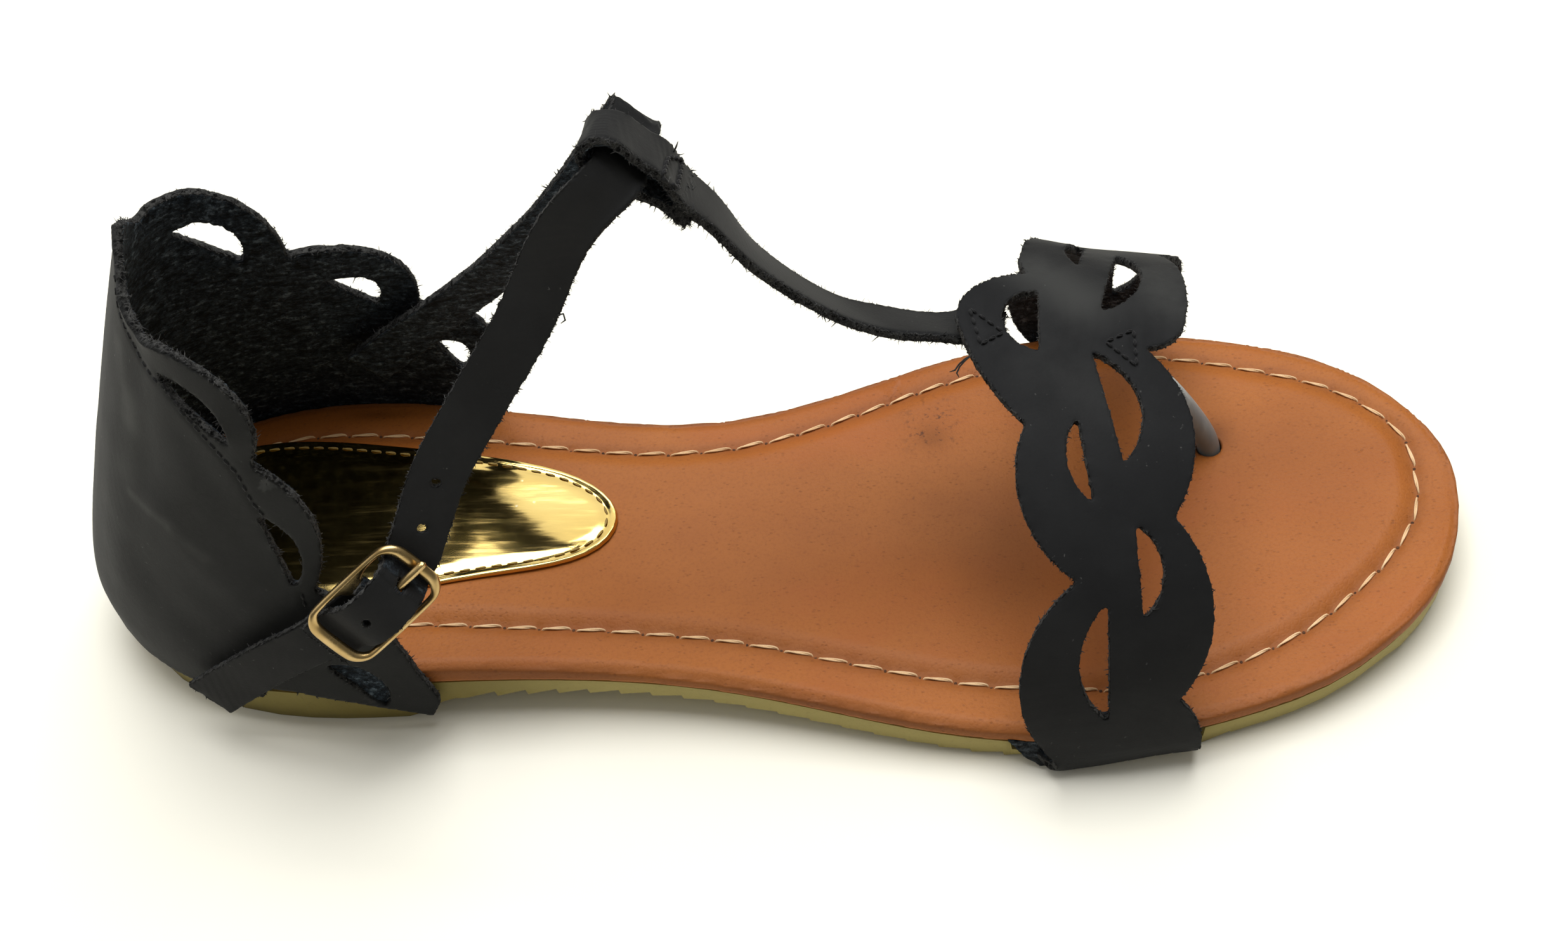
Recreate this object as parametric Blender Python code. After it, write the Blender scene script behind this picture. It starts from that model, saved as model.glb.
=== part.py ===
"""A flat toe post sandal for the right foot, at its real size.

Lengths are in millimetres on the shoe's own lines: x runs from the back of the heel to the toe,
y from the middle line to the inner side of the foot, and z up from the floor. place() turns them
into metres, with the origin on the floor under the middle of the sandal.
"""
import math

import bpy
import numpy as np
from mathutils.geometry import delaunay_2d_cdt

MM = 0.001
GAP = 0.3

# The middle of the whole sandal, on the lines above
MIDDLE_X = 125.06
MIDDLE_Y = -0.54

# Sole and footbed
HEEL_X = 2.3
LENGTH = 250.0
TOE_TIP_Y = 3.7
FOOTBED_ROUND = 1.0
FOOTBED_FOOT = 0.7
FOOTBED_DISH = 0.7
RUBBER_INSET = 0.4
RUBBER_TAPER = 0.4
TOOTH_PITCH = 5.6
TOOTH_DEPTH = 1.4
TOOTH_STEP = 0.3
TOOTH_RUN_IN = 10.0
TEETH_X = (72.0, 234.0)
LASTING_DEPTH = 2.4
LASTING_WIDTH = 9.5

# Leather
WALL = 1.8
STRAP_WALL = 1.6
TAB_WALL = 1.4
TUCK = 7.0
COUNTER_TUCK_LENGTH = 8.5
FOLD_RADIUS = 1.2
TUCK_GAP = 0.5

# Heel counter
COUNTER_OUT = 1.4
COUNTER_BASE_Z = 12.3
COUNTER_UPRIGHT = 5.0
COUNTER_REACH = 80.0
COUNTER_CURVE = 1.12
COUNTER_TUCK = (-50.0, 86.0)
COUNTER_X = (42.0, 79.0)

# Front strap
STRAP_MIDDLE_X = 185.0
STRAP_OUT_OUTER = 2.9
STRAP_OUT_INNER = 2.4
OUTER_FULLNESS = 2.3
INNER_FULLNESS = 2.05
STRAP_FOOT_X = (169.5, 200.5)
LOBE_LIFT = 0.29
LOBE_LIFT_X = 186.0
LOBE_LIFT_RUN = (95.0, 113.0, 135.0)

# Narrow straps
T_WIDTH = 12.0
ANKLE_WIDTH = 9.2
PUNCH_RADIUS = 0.9

# Buckle
BUCKLE_LENGTH = 22.4
BUCKLE_WIDTH = 14.0
BUCKLE_BAND = 1.2
BUCKLE_SIDE_BAND = 0.65
BUCKLE_WIRE = 0.85
BUCKLE_CORNER = 3.3
BAR_WIRE = 0.8
PRONG_WIRE = 0.8
PRONG_TIP = 12.2
PRONG_SLOT = 1.35
SLOT_ALONG = (-3.2, 4.5)
SLOT_OUT = (-3.4, 3.5)
BUCKLE_MIDDLE = np.array([65.2, -38.2, 42.1])
BUCKLE_ALONG = np.array([0.77, 0.38, 0.51])
BUCKLE_ACROSS = np.array([0.60, -0.165, -0.78])

# Toe post and heel pad
POST_RADIUS = 2.15
PAD_X = 9.0
PAD_LENGTH = 89.5
PAD_WALL = 0.8
PAD_SLOPE = 0.3

# Footbed outline: share of the length, half width on the inner and on the outer side
SOLE_STATIONS = (
    (0.03, 17.6, 17.1), (0.08, 26.3, 26.7), (0.17, 31.1, 32.4), (0.27, 29.1, 32.5), (0.37, 25.2, 32.8),
    (0.46, 24.8, 35.1), (0.55, 31.8, 39.9), (0.63, 40.4, 44.3), (0.70, 45.0, 46.2), (0.76, 45.8, 46.0),
    (0.83, 43.3, 42.4), (0.89, 38.7, 37.0), (0.94, 31.2, 28.6), (0.98, 19.6, 16.8))

# Pad outline: share of its length, half width on the inner and on the outer side
PAD_STATIONS = (
    (0.04, 10.0, 10.5), (0.14, 18.0, 18.0), (0.30, 20.6, 19.6), (0.50, 18.6, 17.4), (0.70, 15.6, 13.6),
    (0.88, 11.4, 10.4), (0.96, 7.0, 7.0))

# Footbed: share of the length, height of its top edge, height of its underside
FOOTBED_HEIGHTS = (
    (0.00, 17.2, 11.0), (0.12, 16.9, 10.9), (0.25, 16.5, 10.8), (0.38, 14.8, 10.0), (0.50, 13.0, 8.5),
    (0.60, 11.0, 6.5), (0.68, 10.0, 5.5), (0.80, 9.8, 5.3), (0.90, 10.6, 6.1), (1.00, 12.4, 7.9))

# Underside of the rubber: share of the length, height; it eases from row to row
RUBBER_HEIGHTS = ((0.00, 0.0), (0.24, 0.0), (0.28, 4.8), (0.37, 5.4), (0.72, 0.0), (0.84, 0.0), (1.14, 6.5))

# Lean of the counter at its full reach: place round the heel, lean to the toe, lean to the inner side
COUNTER_LEANS = (
    (-90, 26, 0), (-55, 30, 1), (-24, 29, 1), (0, 28.7, 4), (24, 28.5, -5), (45, 29, -15), (70, 28, -12),
    (92, 24, -6))

# Edge of the counter, from its outer lower corner over the back to its inner end: place round the
# heel, height over the base line, and how far the stretch that ends there bulges out
COUNTER_CORNER = (-79.6, -8.4)
COUNTER_EDGE = (
    (-81.8, -4.4, 0.0), (-59.5, 28.5, 4.8), (-44.6, 58.2, 5.5), (-19.8, 73.9, 9.5), (-4.0, 82.5, -1.5),
    (8.0, 73.2, 0.0), (42.4, 53.1, 8.4), (68.4, 33.0, 7.5), (85.0, 11.7, 7.0), (86.5, 0.0, 0.0))

# Half moons in the counter: place and height of the chord's two ends, bulge away from the sole
COUNTER_HOLES = (
    (-71.9, -5.3, -63.2, 8.0, 5.4), (-56.1, 28.8, -46.9, 47.2, 4.2), (-40.6, 61.8, -24.2, 70.0, 4.6),
    (17.6, 65.6, 34.3, 53.3, 6.0), (49.3, 44.2, 60.6, 34.2, 4.7), (72.6, 22.0, 79.0, 13.2, 4.6))

# Arches of the front strap: place along the shoe, height of the crown, side place of the crown
STRAP_ARCHES = ((160, 58.0, 9.0), (185, 53.5, 9.0), (210, 49.0, 9.0))

# Edges of the front strap from its outer fold: length along the arch, place along the shoe, bulge
STRAP_REAR_START = (0.0, 176.3)
STRAP_REAR_EDGE = (
    (36.5, 180.5, 7.9), (62.4, 173.4, 5.0), (83.5, 162.6, 1.8), (95.0, 175.2, 3.0), (103.0, 174.2, 1.0),
    (122.5, 183.5, 2.0), (157.0, 176.3, 7.9))
STRAP_FRONT_START = (157.0, 200.3)
STRAP_FRONT_EDGE = (
    (143.1, 197.6, 1.4), (112.0, 198.6, 5.6), (86.5, 201.4, 1.8), (78.2, 193.8, 2.2), (46.4, 196.7, 5.6),
    (13.9, 196.6, 5.8), (0.0, 200.3, 1.4))

# Half moons in the front strap: length and place of the chord's two ends, bulge to the left of it
STRAP_HOLES = (
    (10.4, 184.9, 33.2, 185.4, -4.8), (29.8, 190.9, 45.8, 190.3, 4.0), (48.9, 183.8, 64.0, 181.9, -3.1),
    (55.7, 189.0, 77.0, 184.9, 5.6), (76.1, 176.3, 90.2, 176.7, -6.3),
    (86.0, 186.9, 107.3, 191.0, 5.6), (99.0, 183.9, 114.1, 185.8, -3.1), (120.0, 191.6, 142.0, 191.4, 5.0),
    (129.5, 186.6, 151.0, 186.4, -4.8))

# T-strap from under the front strap up to its loop: x, y, z and roll in degrees, inner edge down
T_STRAP_RUN = (
    (170.8, 9.5, 53.6, 2), (167.0, 9.4, 52.7, 9), (163.2, 9.0, 51.4, 22), (159.0, 8.6, 52.0, 29),
    (152.0, 7.6, 54.6, 28), (145.0, 6.3, 58.9, 33), (139.0, 5.2, 64.9, 36), (134.0, 4.1, 71.5, 37),
    (130.0, 2.8, 78.7, 36), (125.5, 2.1, 87.9, 25), (121.3, 1.3, 95.6, 22))

# Loop at its top: runs down the slope of the upper layer, then run and height of the under layer
LOOP_TOP = np.array([113.6, 0.9, 107.05])
LOOP_SLOPE = np.array([0.66, 0.0, -0.751])
LOOP_NORMAL = np.array([0.751, 0.0, 0.66])
LOOP_RADIUS = 2.9
LOOP_ROLL = 22
LOOP_RUN = (8.5, 4.5, 0.0)
LOOP_RETURN = ((5.0, -2.8), (9.0, -2.5), (12.0, -1.8), (14.5, -1.6), (17.2, -1.8))

# Ankle strap from inside the inner quarter, through the loop, down to the buckle: x, y, z, side lean
ANKLE_RUN = (
    (52.0, 25.2, 32.0, 0.10), (61.0, 24.8, 39.5, 0.15), (70.0, 24.0, 47.0, 0.25), (82.0, 21.4, 58.5, 0.29),
    (91.5, 17.5, 70.0, 0.29), (99.5, 15.0, 80.0, 0.25), (107.2, 15.2, 89.8, 0.15), (112.9, 15.0, 97.4, 0.05),
    (114.5, 12.2, 100.4, -0.10), (114.0, 6.6, 101.1, -0.24), (113.9, 1.2, 102.5, -0.18),
    (113.6, -4.4, 103.6, -0.10), (107.5, -8.9, 100.0, -0.12),
    (100.8, -11.4, 91.0, -0.24), (95.8, -14.9, 82.7, -0.29), (89.5, -18.5, 74.4, -0.29),
    (83.1, -22.2, 66.0, -0.28), (78.4, -25.1, 59.4, -0.27))

# Ankle strap in the buckle: along the frame, across it and out of it
ANKLE_IN_BUCKLE = (
    (14.5, -3.0, -2.8), (11.5, -1.5, -2.45), (9.2, -0.5, -2.3), (7.6, -0.2, -1.2), (6.7, 0.0, 0.8),
    (5.4, 0.0, 2.7), (3.0, 0.0, 3.7), (0.0, 0.0, 3.9), (-1.8, 0.0, 3.5), (-3.6, 0.0, 2.5),
    (-5.5, 0.0, 0.25), (-7.0, 0.0, -1.45), (-8.9, 0.0, -2.15), (-12.6, 0.0, -2.5))

# Punched holes in the ankle strap: share of its whole length
ANKLE_PUNCHES = (0.81, 0.847, 0.943)

# Buckle tab from its sewn end to the buckle: x, y, z; then along the frame and out of it
TAB_RUN = ((26.8, -33.9, 11.0), (36.5, -36.2, 20.2), (46.0, -38.0, 28.3))
TAB_IN_BUCKLE = ((-9.2, -3.9), (-4.5, -2.9))
TAB_SIDE = (0.45, -0.10, -0.89)
TAB_WRAP = (-90, -45, 0, 45, 90)

# Toe post from under the front strap into the footbed
POST_RUN = (
    (184.5, 9.0, 49.3), (190.2, 9.2, 45.4), (195.4, 10.6, 36.8), (200.2, 13.2, 26.8), (204.9, 15.5, 16.0),
    (207.2, 15.8, 9.5), (207.5, 15.8, 5.9))

# Colours, roughness and metallic value of each piece
FINISHES = {
    "outsole": ((0.36, 0.31, 0.10), 0.55, 0.0),
    "footbed": ((0.43, 0.17, 0.06), 0.45, 0.0),
    "heel_pad": ((0.80, 0.56, 0.14), 0.12, 1.0),
    "heel_counter": ((0.025, 0.026, 0.028), 0.75, 0.0),
    "front_strap": ((0.022, 0.022, 0.024), 0.75, 0.0),
    "t_strap": ((0.022, 0.023, 0.025), 0.75, 0.0),
    "ankle_strap": ((0.023, 0.024, 0.026), 0.75, 0.0),
    "buckle_tab": ((0.024, 0.024, 0.026), 0.75, 0.0),
    "buckle_frame": ((0.72, 0.52, 0.24), 0.20, 1.0),
    "buckle_prong": ((0.72, 0.53, 0.26), 0.20, 1.0),
    "toe_post": ((0.20, 0.22, 0.21), 0.35, 0.0),
}


def smooth_curve(knots, values):
    """A natural cubic curve through the values, as a function of a number or an array."""
    knots = np.asarray(knots, float)
    values = np.asarray(values, float)
    step = np.diff(knots)
    slope = np.diff(values) / step
    matrix = np.eye(len(knots))
    bend = np.zeros(len(knots))
    for i in range(1, len(knots) - 1):
        matrix[i, i - 1:i + 2] = step[i - 1], 2 * (step[i - 1] + step[i]), step[i]
        bend[i] = 6 * (slope[i] - slope[i - 1])
    bend = np.linalg.solve(matrix, bend)

    def at(place):
        i = np.clip(np.searchsorted(knots, place) - 1, 0, len(step) - 1)
        run = place - knots[i]
        first = slope[i] - step[i] * (2 * bend[i] + bend[i + 1]) / 6
        third = (bend[i + 1] - bend[i]) / (6 * step[i])
        return values[i] + run * (first + run * (bend[i] / 2 + run * third))

    return at


class Rim:
    """A closed sole outline, set out by the angle whose cosine gives the place along it."""

    def __init__(self, stations, start, length, tip_y):
        share, inner, outer = np.array(stations).T
        angles = [0.0, *np.arccos(1 - 2 * share), math.pi]
        self.start = start
        self.length = length
        self.inner = smooth_curve(angles, [0.0, *inner, tip_y])
        self.outer = smooth_curve(angles, [0.0, *outer, -tip_y])

    def angle(self, x):
        return math.acos(1 - 2 * min(max((x - self.start) / self.length, 0.0), 1.0))

    def point(self, angle, side):
        """The outline at an angle; side is 1 on the inner and -1 on the outer side."""
        x = self.start + self.length * (1 - math.cos(angle)) / 2
        return np.array([x, self.inner(angle) if side > 0 else -self.outer(angle)])

    def outward(self, angle, side, step=0.01):
        before, after = (angle - step, side), (angle + step, side)
        if angle < step:
            before = (step, -side)
        if angle > math.pi - step:
            after = (math.pi - step, -side)
        along = self.point(*after) - self.point(*before)
        return side * np.array([-along[1], along[0]]) / np.linalg.norm(along)

    def ring(self, angles, inset):
        """The outline moved inwards: heel end, inner side, toe end, outer side."""
        route = [(0.0, 1), *((a, 1) for a in angles), (math.pi, 1), *((a, -1) for a in reversed(angles))]
        return [(*(self.point(a, side) - inset * self.outward(a, side)), side) for a, side in route]


SOLE = Rim(SOLE_STATIONS, HEEL_X, LENGTH - HEEL_X, TOE_TIP_Y)
PAD = Rim(PAD_STATIONS, PAD_X, PAD_LENGTH, 0.0)
FOOTBED_SHARES, TOP_HEIGHTS, LOW_HEIGHTS = np.array(FOOTBED_HEIGHTS).T
FOOTBED_TOP = smooth_curve(FOOTBED_SHARES, TOP_HEIGHTS)
FOOTBED_LOW = smooth_curve(FOOTBED_SHARES, LOW_HEIGHTS)


def footbed_edge_z(x):
    return float(FOOTBED_TOP(x / LENGTH))


def footbed_low_z(x):
    return float(FOOTBED_LOW(x / LENGTH))


def footbed_z(x, y):
    """The dished top of the footbed."""
    angle = SOLE.angle(x)
    inner = SOLE.point(angle, 1)[1]
    outer = SOLE.point(angle, -1)[1]
    across = 2 * (y - outer) / max(inner - outer, 1.0) - 1
    return footbed_edge_z(x) - FOOTBED_DISH * max(1 - across * across, 0.0)


def rubber_low_z(x):
    """The underside of the rubber without its teeth, eased from row to row."""
    share = x / LENGTH
    for (before, low), (after, high) in zip(RUBBER_HEIGHTS, RUBBER_HEIGHTS[1:]):
        if share <= after:
            t = (share - before) / (after - before)
            return low + (high - low) * t * t * (3 - 2 * t)
    return RUBBER_HEIGHTS[-1][1]


def tooth(x):
    """Height of the saw teeth at a place: each rises to the toe and drops back at once."""
    if not TEETH_X[0] < x < TEETH_X[1]:
        return 0.0
    run = (x - TEETH_X[0]) % TOOTH_PITCH
    rise = TOOTH_PITCH - TOOTH_STEP
    return TOOTH_DEPTH * (run / rise if run < rise else (TOOTH_PITCH - run) / TOOTH_STEP)


def lasting(x, side):
    """How deep the rubber's edge is let in where leather is tucked under the footbed."""
    heel = x < (COUNTER_X[1] if side > 0 else COUNTER_X[0])
    strap = STRAP_FOOT_X[0] - 1 < x < STRAP_FOOT_X[1] + 1
    return LASTING_DEPTH if heel or strap else 0.0


def heel_line(side):
    """Length along the footbed's edge from the back of the heel, and the angle there."""
    angles = np.linspace(0, 0.62 * math.pi, 400)
    points = np.array([SOLE.point(a, side) for a in angles])
    steps = np.linalg.norm(np.diff(points, axis=0), axis=1)
    return np.concatenate(([0.0], np.cumsum(steps))), angles


HEEL_LINES = {1: heel_line(1), -1: heel_line(-1)}
LEAN_PLACES, TO_TOE, INWARD = np.array(COUNTER_LEANS, float).T
LEAN_TO_TOE = smooth_curve(LEAN_PLACES, TO_TOE)
LEAN_INWARD = smooth_curve(LEAN_PLACES, INWARD)


def fold(run):
    """A quarter turn from straight down to level: how far in and how far down it is after a run."""
    turn = min(run / FOLD_RADIUS, math.pi / 2)
    level = max(run - FOLD_RADIUS * math.pi / 2, 0.0)
    return FOLD_RADIUS * (1 - math.cos(turn)) + level, FOLD_RADIUS * math.sin(turn)


def tucked_z(x):
    """Where leather starts its turn to go in under the footbed."""
    return footbed_low_z(x) - TUCK_GAP - WALL / 2 + FOLD_RADIUS


def counter_point(around, height):
    """The counter's middle layer by length round the heel and height over its base line."""
    side = 1 if around >= 0 else -1
    angle = float(np.interp(abs(around), *HEEL_LINES[side]))
    base = SOLE.point(angle, side)
    out = SOLE.outward(angle, side)
    turn_z = tucked_z(base[0])
    if COUNTER_BASE_Z + height < turn_z and around > COUNTER_TUCK[0] - 2:
        inward, drop = fold(turn_z - COUNTER_BASE_Z - height)
        return (*(base + (COUNTER_OUT - inward) * out), turn_z - drop)
    lean = (max(height - COUNTER_UPRIGHT, 0.0) / (COUNTER_REACH - COUNTER_UPRIGHT)) ** COUNTER_CURVE
    shift = lean * np.array([LEAN_TO_TOE(around), LEAN_INWARD(around)])
    return (*(base + COUNTER_OUT * out + shift), COUNTER_BASE_Z + height)


ARCH_X, ARCH_CROWN, ARCH_SIDE = np.array(STRAP_ARCHES, float).T
ARCH_TURN = np.linspace(0, math.pi, 121)


def strap_arch(x):
    """One arch of the front strap from its outer to its inner fold: y, z and length along it."""
    crown = np.interp(x, ARCH_X, ARCH_CROWN)
    middle = np.interp(x, ARCH_X, ARCH_SIDE)
    angle = SOLE.angle(x)
    outer = SOLE.point(angle, -1)[1] - STRAP_OUT_OUTER
    inner = SOLE.point(angle, 1)[1] + STRAP_OUT_INNER
    low = tucked_z(x)
    level = np.cos(ARCH_TURN)
    power = 2 / np.where(level > 0, OUTER_FULLNESS, INNER_FULLNESS)
    y = middle + np.where(level > 0, outer - middle, inner - middle) * np.abs(level) ** power
    z = low + (crown - low) * np.abs(np.sin(ARCH_TURN)) ** power
    return y, z, np.concatenate(([0.0], np.cumsum(np.hypot(np.diff(y), np.diff(z)))))


STRAP_RUN = strap_arch(STRAP_MIDDLE_X)[2][-1]


def lobe_lift(run, x):
    """How far the inner rear lobe of the front strap stands up."""
    share = float(np.interp(run, LOBE_LIFT_RUN, (0.0, 1.0, 0.0)))
    return LOBE_LIFT * max(LOBE_LIFT_X - x, 0.0) * share * share * (3 - 2 * share)


def front_strap_point(run, x):
    """The front strap's middle layer: length along its middle arch from the outer fold, and place x."""
    y, z, lengths = strap_arch(x)
    if 0 <= run <= STRAP_RUN:
        at = run / STRAP_RUN * lengths[-1]
        return x, float(np.interp(at, lengths, y)), float(np.interp(at, lengths, z)) + lobe_lift(run, x)
    inward, drop = fold(max(-run, run - STRAP_RUN))
    if run < 0:
        return x, y[0] + inward, z[0] - drop
    return x, y[-1] - inward, z[-1] - drop


def place(point):
    return (point[0] - MIDDLE_X) * MM, (point[1] - MIDDLE_Y) * MM, point[2] * MM


def new_object(name, points, faces):
    """A named object from points in millimetres, with its own finish."""
    mesh = bpy.data.meshes.new(name)
    mesh.from_pydata([place(point) for point in points], [], faces)
    mesh.shade_smooth()
    piece = bpy.data.objects.new(name, mesh)
    bpy.context.scene.collection.objects.link(piece)
    if name in FINISHES:
        colour, roughness, metallic = FINISHES[name]
        finish = bpy.data.materials.new(name)
        finish.use_nodes = True
        shader = finish.node_tree.nodes["Principled BSDF"]
        shader.inputs["Base Color"].default_value = (*colour, 1.0)
        shader.inputs["Roughness"].default_value = roughness
        shader.inputs["Metallic"].default_value = metallic
        mesh.materials.append(finish)
    return piece


def thicken(piece, wall):
    shell = piece.modifiers.new("wall", "SOLIDIFY")
    shell.thickness = wall * MM
    shell.offset = 0.0


def combine(piece, other, operation):
    """Joins another shape to a piece, or cuts it out, and hides that shape."""
    other.hide_render = True
    other.hide_set(True)
    other.display_type = "WIRE"
    join = piece.modifiers.new(other.name, "BOOLEAN")
    join.operation = operation
    join.object = other
    join.solver = "EXACT"


def loft(name, rings, low_z, high_z, columns):
    """A closed body between rings of a sole outline, its two ends filled by rows from side to side."""
    count = len(rings[0])
    half = count // 2
    points = [point for ring in rings for point in ring]
    faces = []
    for level in range(len(rings) - 1):
        for i in range(count):
            j = (i + 1) % count
            low, high = level * count, (level + 1) * count
            faces.append((low + j, low + i, high + i, high + j))
    for first, height, flip in ((0, low_z, False), ((len(rings) - 1) * count, high_z, True)):
        rows = [[first]]
        for i in range(1, half):
            inner, outer = first + i, first + count - i
            row = [inner]
            for column in range(1, columns):
                share = column / columns
                x, y = (points[inner][k] * (1 - share) + points[outer][k] * share for k in (0, 1))
                row.append(len(points))
                points.append((x, y, height(x, y)))
            rows.append(row + [outer])
        rows.append([first + half])
        for near, far in zip(rows, rows[1:]):
            for column in range(columns):
                a, b = near[min(column, len(near) - 1)], near[min(column + 1, len(near) - 1)]
                c, d = far[min(column + 1, len(far) - 1)], far[min(column, len(far) - 1)]
                face = [corner for k, corner in enumerate((a, b, c, d)) if corner not in (a, b, c, d)[:k]]
                faces.append(tuple(face if flip else reversed(face)))
    return new_object(name, points, faces)


def levels(rim, angles, rows):
    """Rings of an outline, a row for each: inset, and height as a function of x and side."""
    return [[(x, y, height(x, side)) for x, y, side in rim.ring(angles, inset)] for inset, height in rows]


def arc(start, end, bulge, spacing):
    """Points from start up to, but not at, end on an arc that bulges to the left."""
    start, end = np.array(start, float), np.array(end, float)
    chord = np.linalg.norm(end - start)
    left = np.array([start[1] - end[1], end[0] - start[0]]) / chord
    count = max(2, round(chord / spacing))
    shares = np.arange(count) / count
    if abs(bulge) < 0.01:
        return [start + (end - start) * share for share in shares]
    radius = (chord * chord / 4 + bulge * bulge) / (2 * abs(bulge))
    sweep = 2 * math.asin(min(chord / (2 * radius), 1.0))
    if abs(bulge) > chord / 2:
        sweep = 2 * math.pi - sweep
    turns = sweep * (shares - 0.5)
    along = radius * np.sin(turns)
    rise = math.copysign(1, bulge) * (radius * np.cos(turns) - radius + abs(bulge))
    middle, forward = (start + end) / 2, (end - start) / chord
    return [middle + a * forward + r * left for a, r in zip(along, rise)]


def edge(start, rows, spacing):
    """Points along the arcs of an edge; each row gives an arc's end and bulge."""
    points = []
    for *end, bulge in rows:
        points += arc(start, end, bulge, spacing)
        start = end
    return points


def half_moon(row, spacing):
    first, second, bulge = row[:2], row[2:4], row[4]
    return arc(first, second, bulge, spacing) + arc(second, first, 0.0, spacing)


def inside(points, outline):
    """Which points lie inside a closed outline."""
    x, y = np.array(points).T
    result = np.zeros(len(x), bool)
    for (ax, ay), (bx, by) in zip(outline, [*outline[1:], outline[0]]):
        crosses = (ay > y) != (by > y)
        at = ax + (y - ay) * (bx - ax) / np.where(crosses, by - ay, 1.0)
        result ^= crosses & (x < at)
    return result


def leather(name, outline, holes, surface, spacing):
    """A leather piece: a flat pattern with its holes cut, laid on a surface and given its thickness."""
    rims = [outline, *holes]
    low, high = np.min(outline, axis=0), np.max(outline, axis=0)
    columns, rows = (np.arange(low[k], high[k], spacing) for k in (0, 1))
    grid = np.array([(x, y) for x in columns for y in rows])
    border = np.array([point for rim in rims for point in rim])
    far = np.min(np.linalg.norm(grid[:, None] - border[None], axis=2), axis=1) > 0.45 * spacing
    grid = grid[far & inside(grid, outline)]
    for hole in holes:
        grid = grid[~inside(grid, hole)]
    edges = []
    first = 0
    for rim in rims:
        edges += [(first + i, first + (i + 1) % len(rim)) for i in range(len(rim))]
        first += len(rim)
    flat = [tuple(map(float, point)) for point in (*border, *grid)]
    flat, _, triangles, *_ = delaunay_2d_cdt(flat, edges, [], 0, 1e-5)
    middles = [np.mean([flat[i] for i in triangle], axis=0) for triangle in triangles]
    keep = inside(middles, outline)
    for hole in holes:
        keep &= ~inside(middles, hole)
    faces = [tuple(triangle) for triangle, wanted in zip(triangles, keep) if wanted]
    used = sorted({i for face in faces for i in face})
    index = {old: new for new, old in enumerate(used)}
    points = [surface(*flat[i]) for i in used]
    piece = new_object(name, points, [tuple(index[i] for i in face) for face in faces])
    thicken(piece, WALL)
    return piece


def through(rows, count):
    """Evenly spread rows on a smooth curve; the first three values of a row are its place."""
    rows = np.array(rows, float)
    run = np.concatenate(([0.0], np.cumsum(np.linalg.norm(np.diff(rows[:, :3], axis=0), axis=1))))
    spread = np.linspace(0, run[-1], count)
    return np.array([smooth_curve(run, column)(spread) for column in rows.T]).T


def unit(vector):
    return vector / np.linalg.norm(vector)


def ribbon(name, middles, sides, width, wall):
    """A flat strap along its middle line; sides point across it."""
    along = np.gradient(middles, axis=0)
    points = []
    for middle, forward, side in zip(middles, along, sides):
        forward = unit(forward)
        across = unit(side - forward * np.dot(side, forward))
        points += [middle - across * width / 2, middle + across * width / 2]
    faces = [(i, i + 1, i + 3, i + 2) for i in range(0, 2 * len(middles) - 2, 2)]
    piece = new_object(name, points, faces)
    thicken(piece, wall)
    return piece


def tube(name, path, radius, sides):
    """A round wire along a path, its ends closed flat."""
    path = np.array(path, float)
    along = np.gradient(path, axis=0)
    across = np.cross(along[0], (0.3, 0.2, 1.0))
    points = []
    for middle, forward in zip(path, along):
        forward = unit(forward)
        across = unit(across - forward * np.dot(across, forward))
        other = np.cross(forward, across)
        for turn in np.arange(sides) * 2 * math.pi / sides:
            points.append(middle + radius * (math.cos(turn) * across + math.sin(turn) * other))
    faces = []
    count = len(path)
    for low in range(0, (count - 1) * sides, sides):
        for k in range(sides):
            j = (k + 1) % sides
            faces.append((low + k, low + j, low + sides + j, low + sides + k))
    faces += [tuple(reversed(range(sides))), tuple(range((count - 1) * sides, count * sides))]
    return new_object(name, points, faces)


BUCKLE_X = unit(BUCKLE_ALONG)
BUCKLE_Y = unit(BUCKLE_ACROSS - BUCKLE_X * np.dot(BUCKLE_ACROSS, BUCKLE_X))
BUCKLE_Z = np.cross(BUCKLE_Y, BUCKLE_X)


def in_buckle(along, across, out):
    """A place in the buckle, from its middle."""
    return BUCKLE_MIDDLE + along * BUCKLE_X + across * BUCKLE_Y + out * BUCKLE_Z


def make_outsole():
    heel = [SOLE.angle(x) for x in 30 * (1 - np.cos(np.linspace(0.12, math.pi - 0.2, 13)))]
    breast = list(np.linspace(60.5, TEETH_X[0], 6))
    teeth = []
    for first in np.arange(TEETH_X[0], TEETH_X[1], TOOTH_PITCH):
        teeth += [first, first + TOOTH_PITCH - TOOTH_STEP]
    toe = list(LENGTH - 14.0 * np.linspace(0.95, 0.08, 6) ** 2)
    steps = [x + d for x in (*COUNTER_X, STRAP_FOOT_X[0] - 1, STRAP_FOOT_X[1] + 1) for d in (-0.15, 0.15)]
    places = sorted([*breast, *teeth, *toe, *steps])
    places = [x for i, x in enumerate(places) if i == 0 or x - places[i - 1] > 0.1]
    angles = sorted([*heel, *(SOLE.angle(x) for x in places)])

    def low(x, side):
        return rubber_low_z(x)

    def toothed(x, side):
        return rubber_low_z(x) + tooth(x)

    def top(x, side):
        return footbed_low_z(x) - GAP

    def let_in(x, side):
        return top(x, side) - lasting(x, side)

    rows = (
        (RUBBER_INSET + TOOTH_RUN_IN, low), (RUBBER_INSET + RUBBER_TAPER, toothed), (RUBBER_INSET, let_in),
        (RUBBER_INSET + LASTING_WIDTH, let_in), (RUBBER_INSET + LASTING_WIDTH + 0.3, top))
    loft("outsole", levels(SOLE, angles, rows), lambda x, y: rubber_low_z(x), lambda x, y: top(x, 0), 2)


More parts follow.
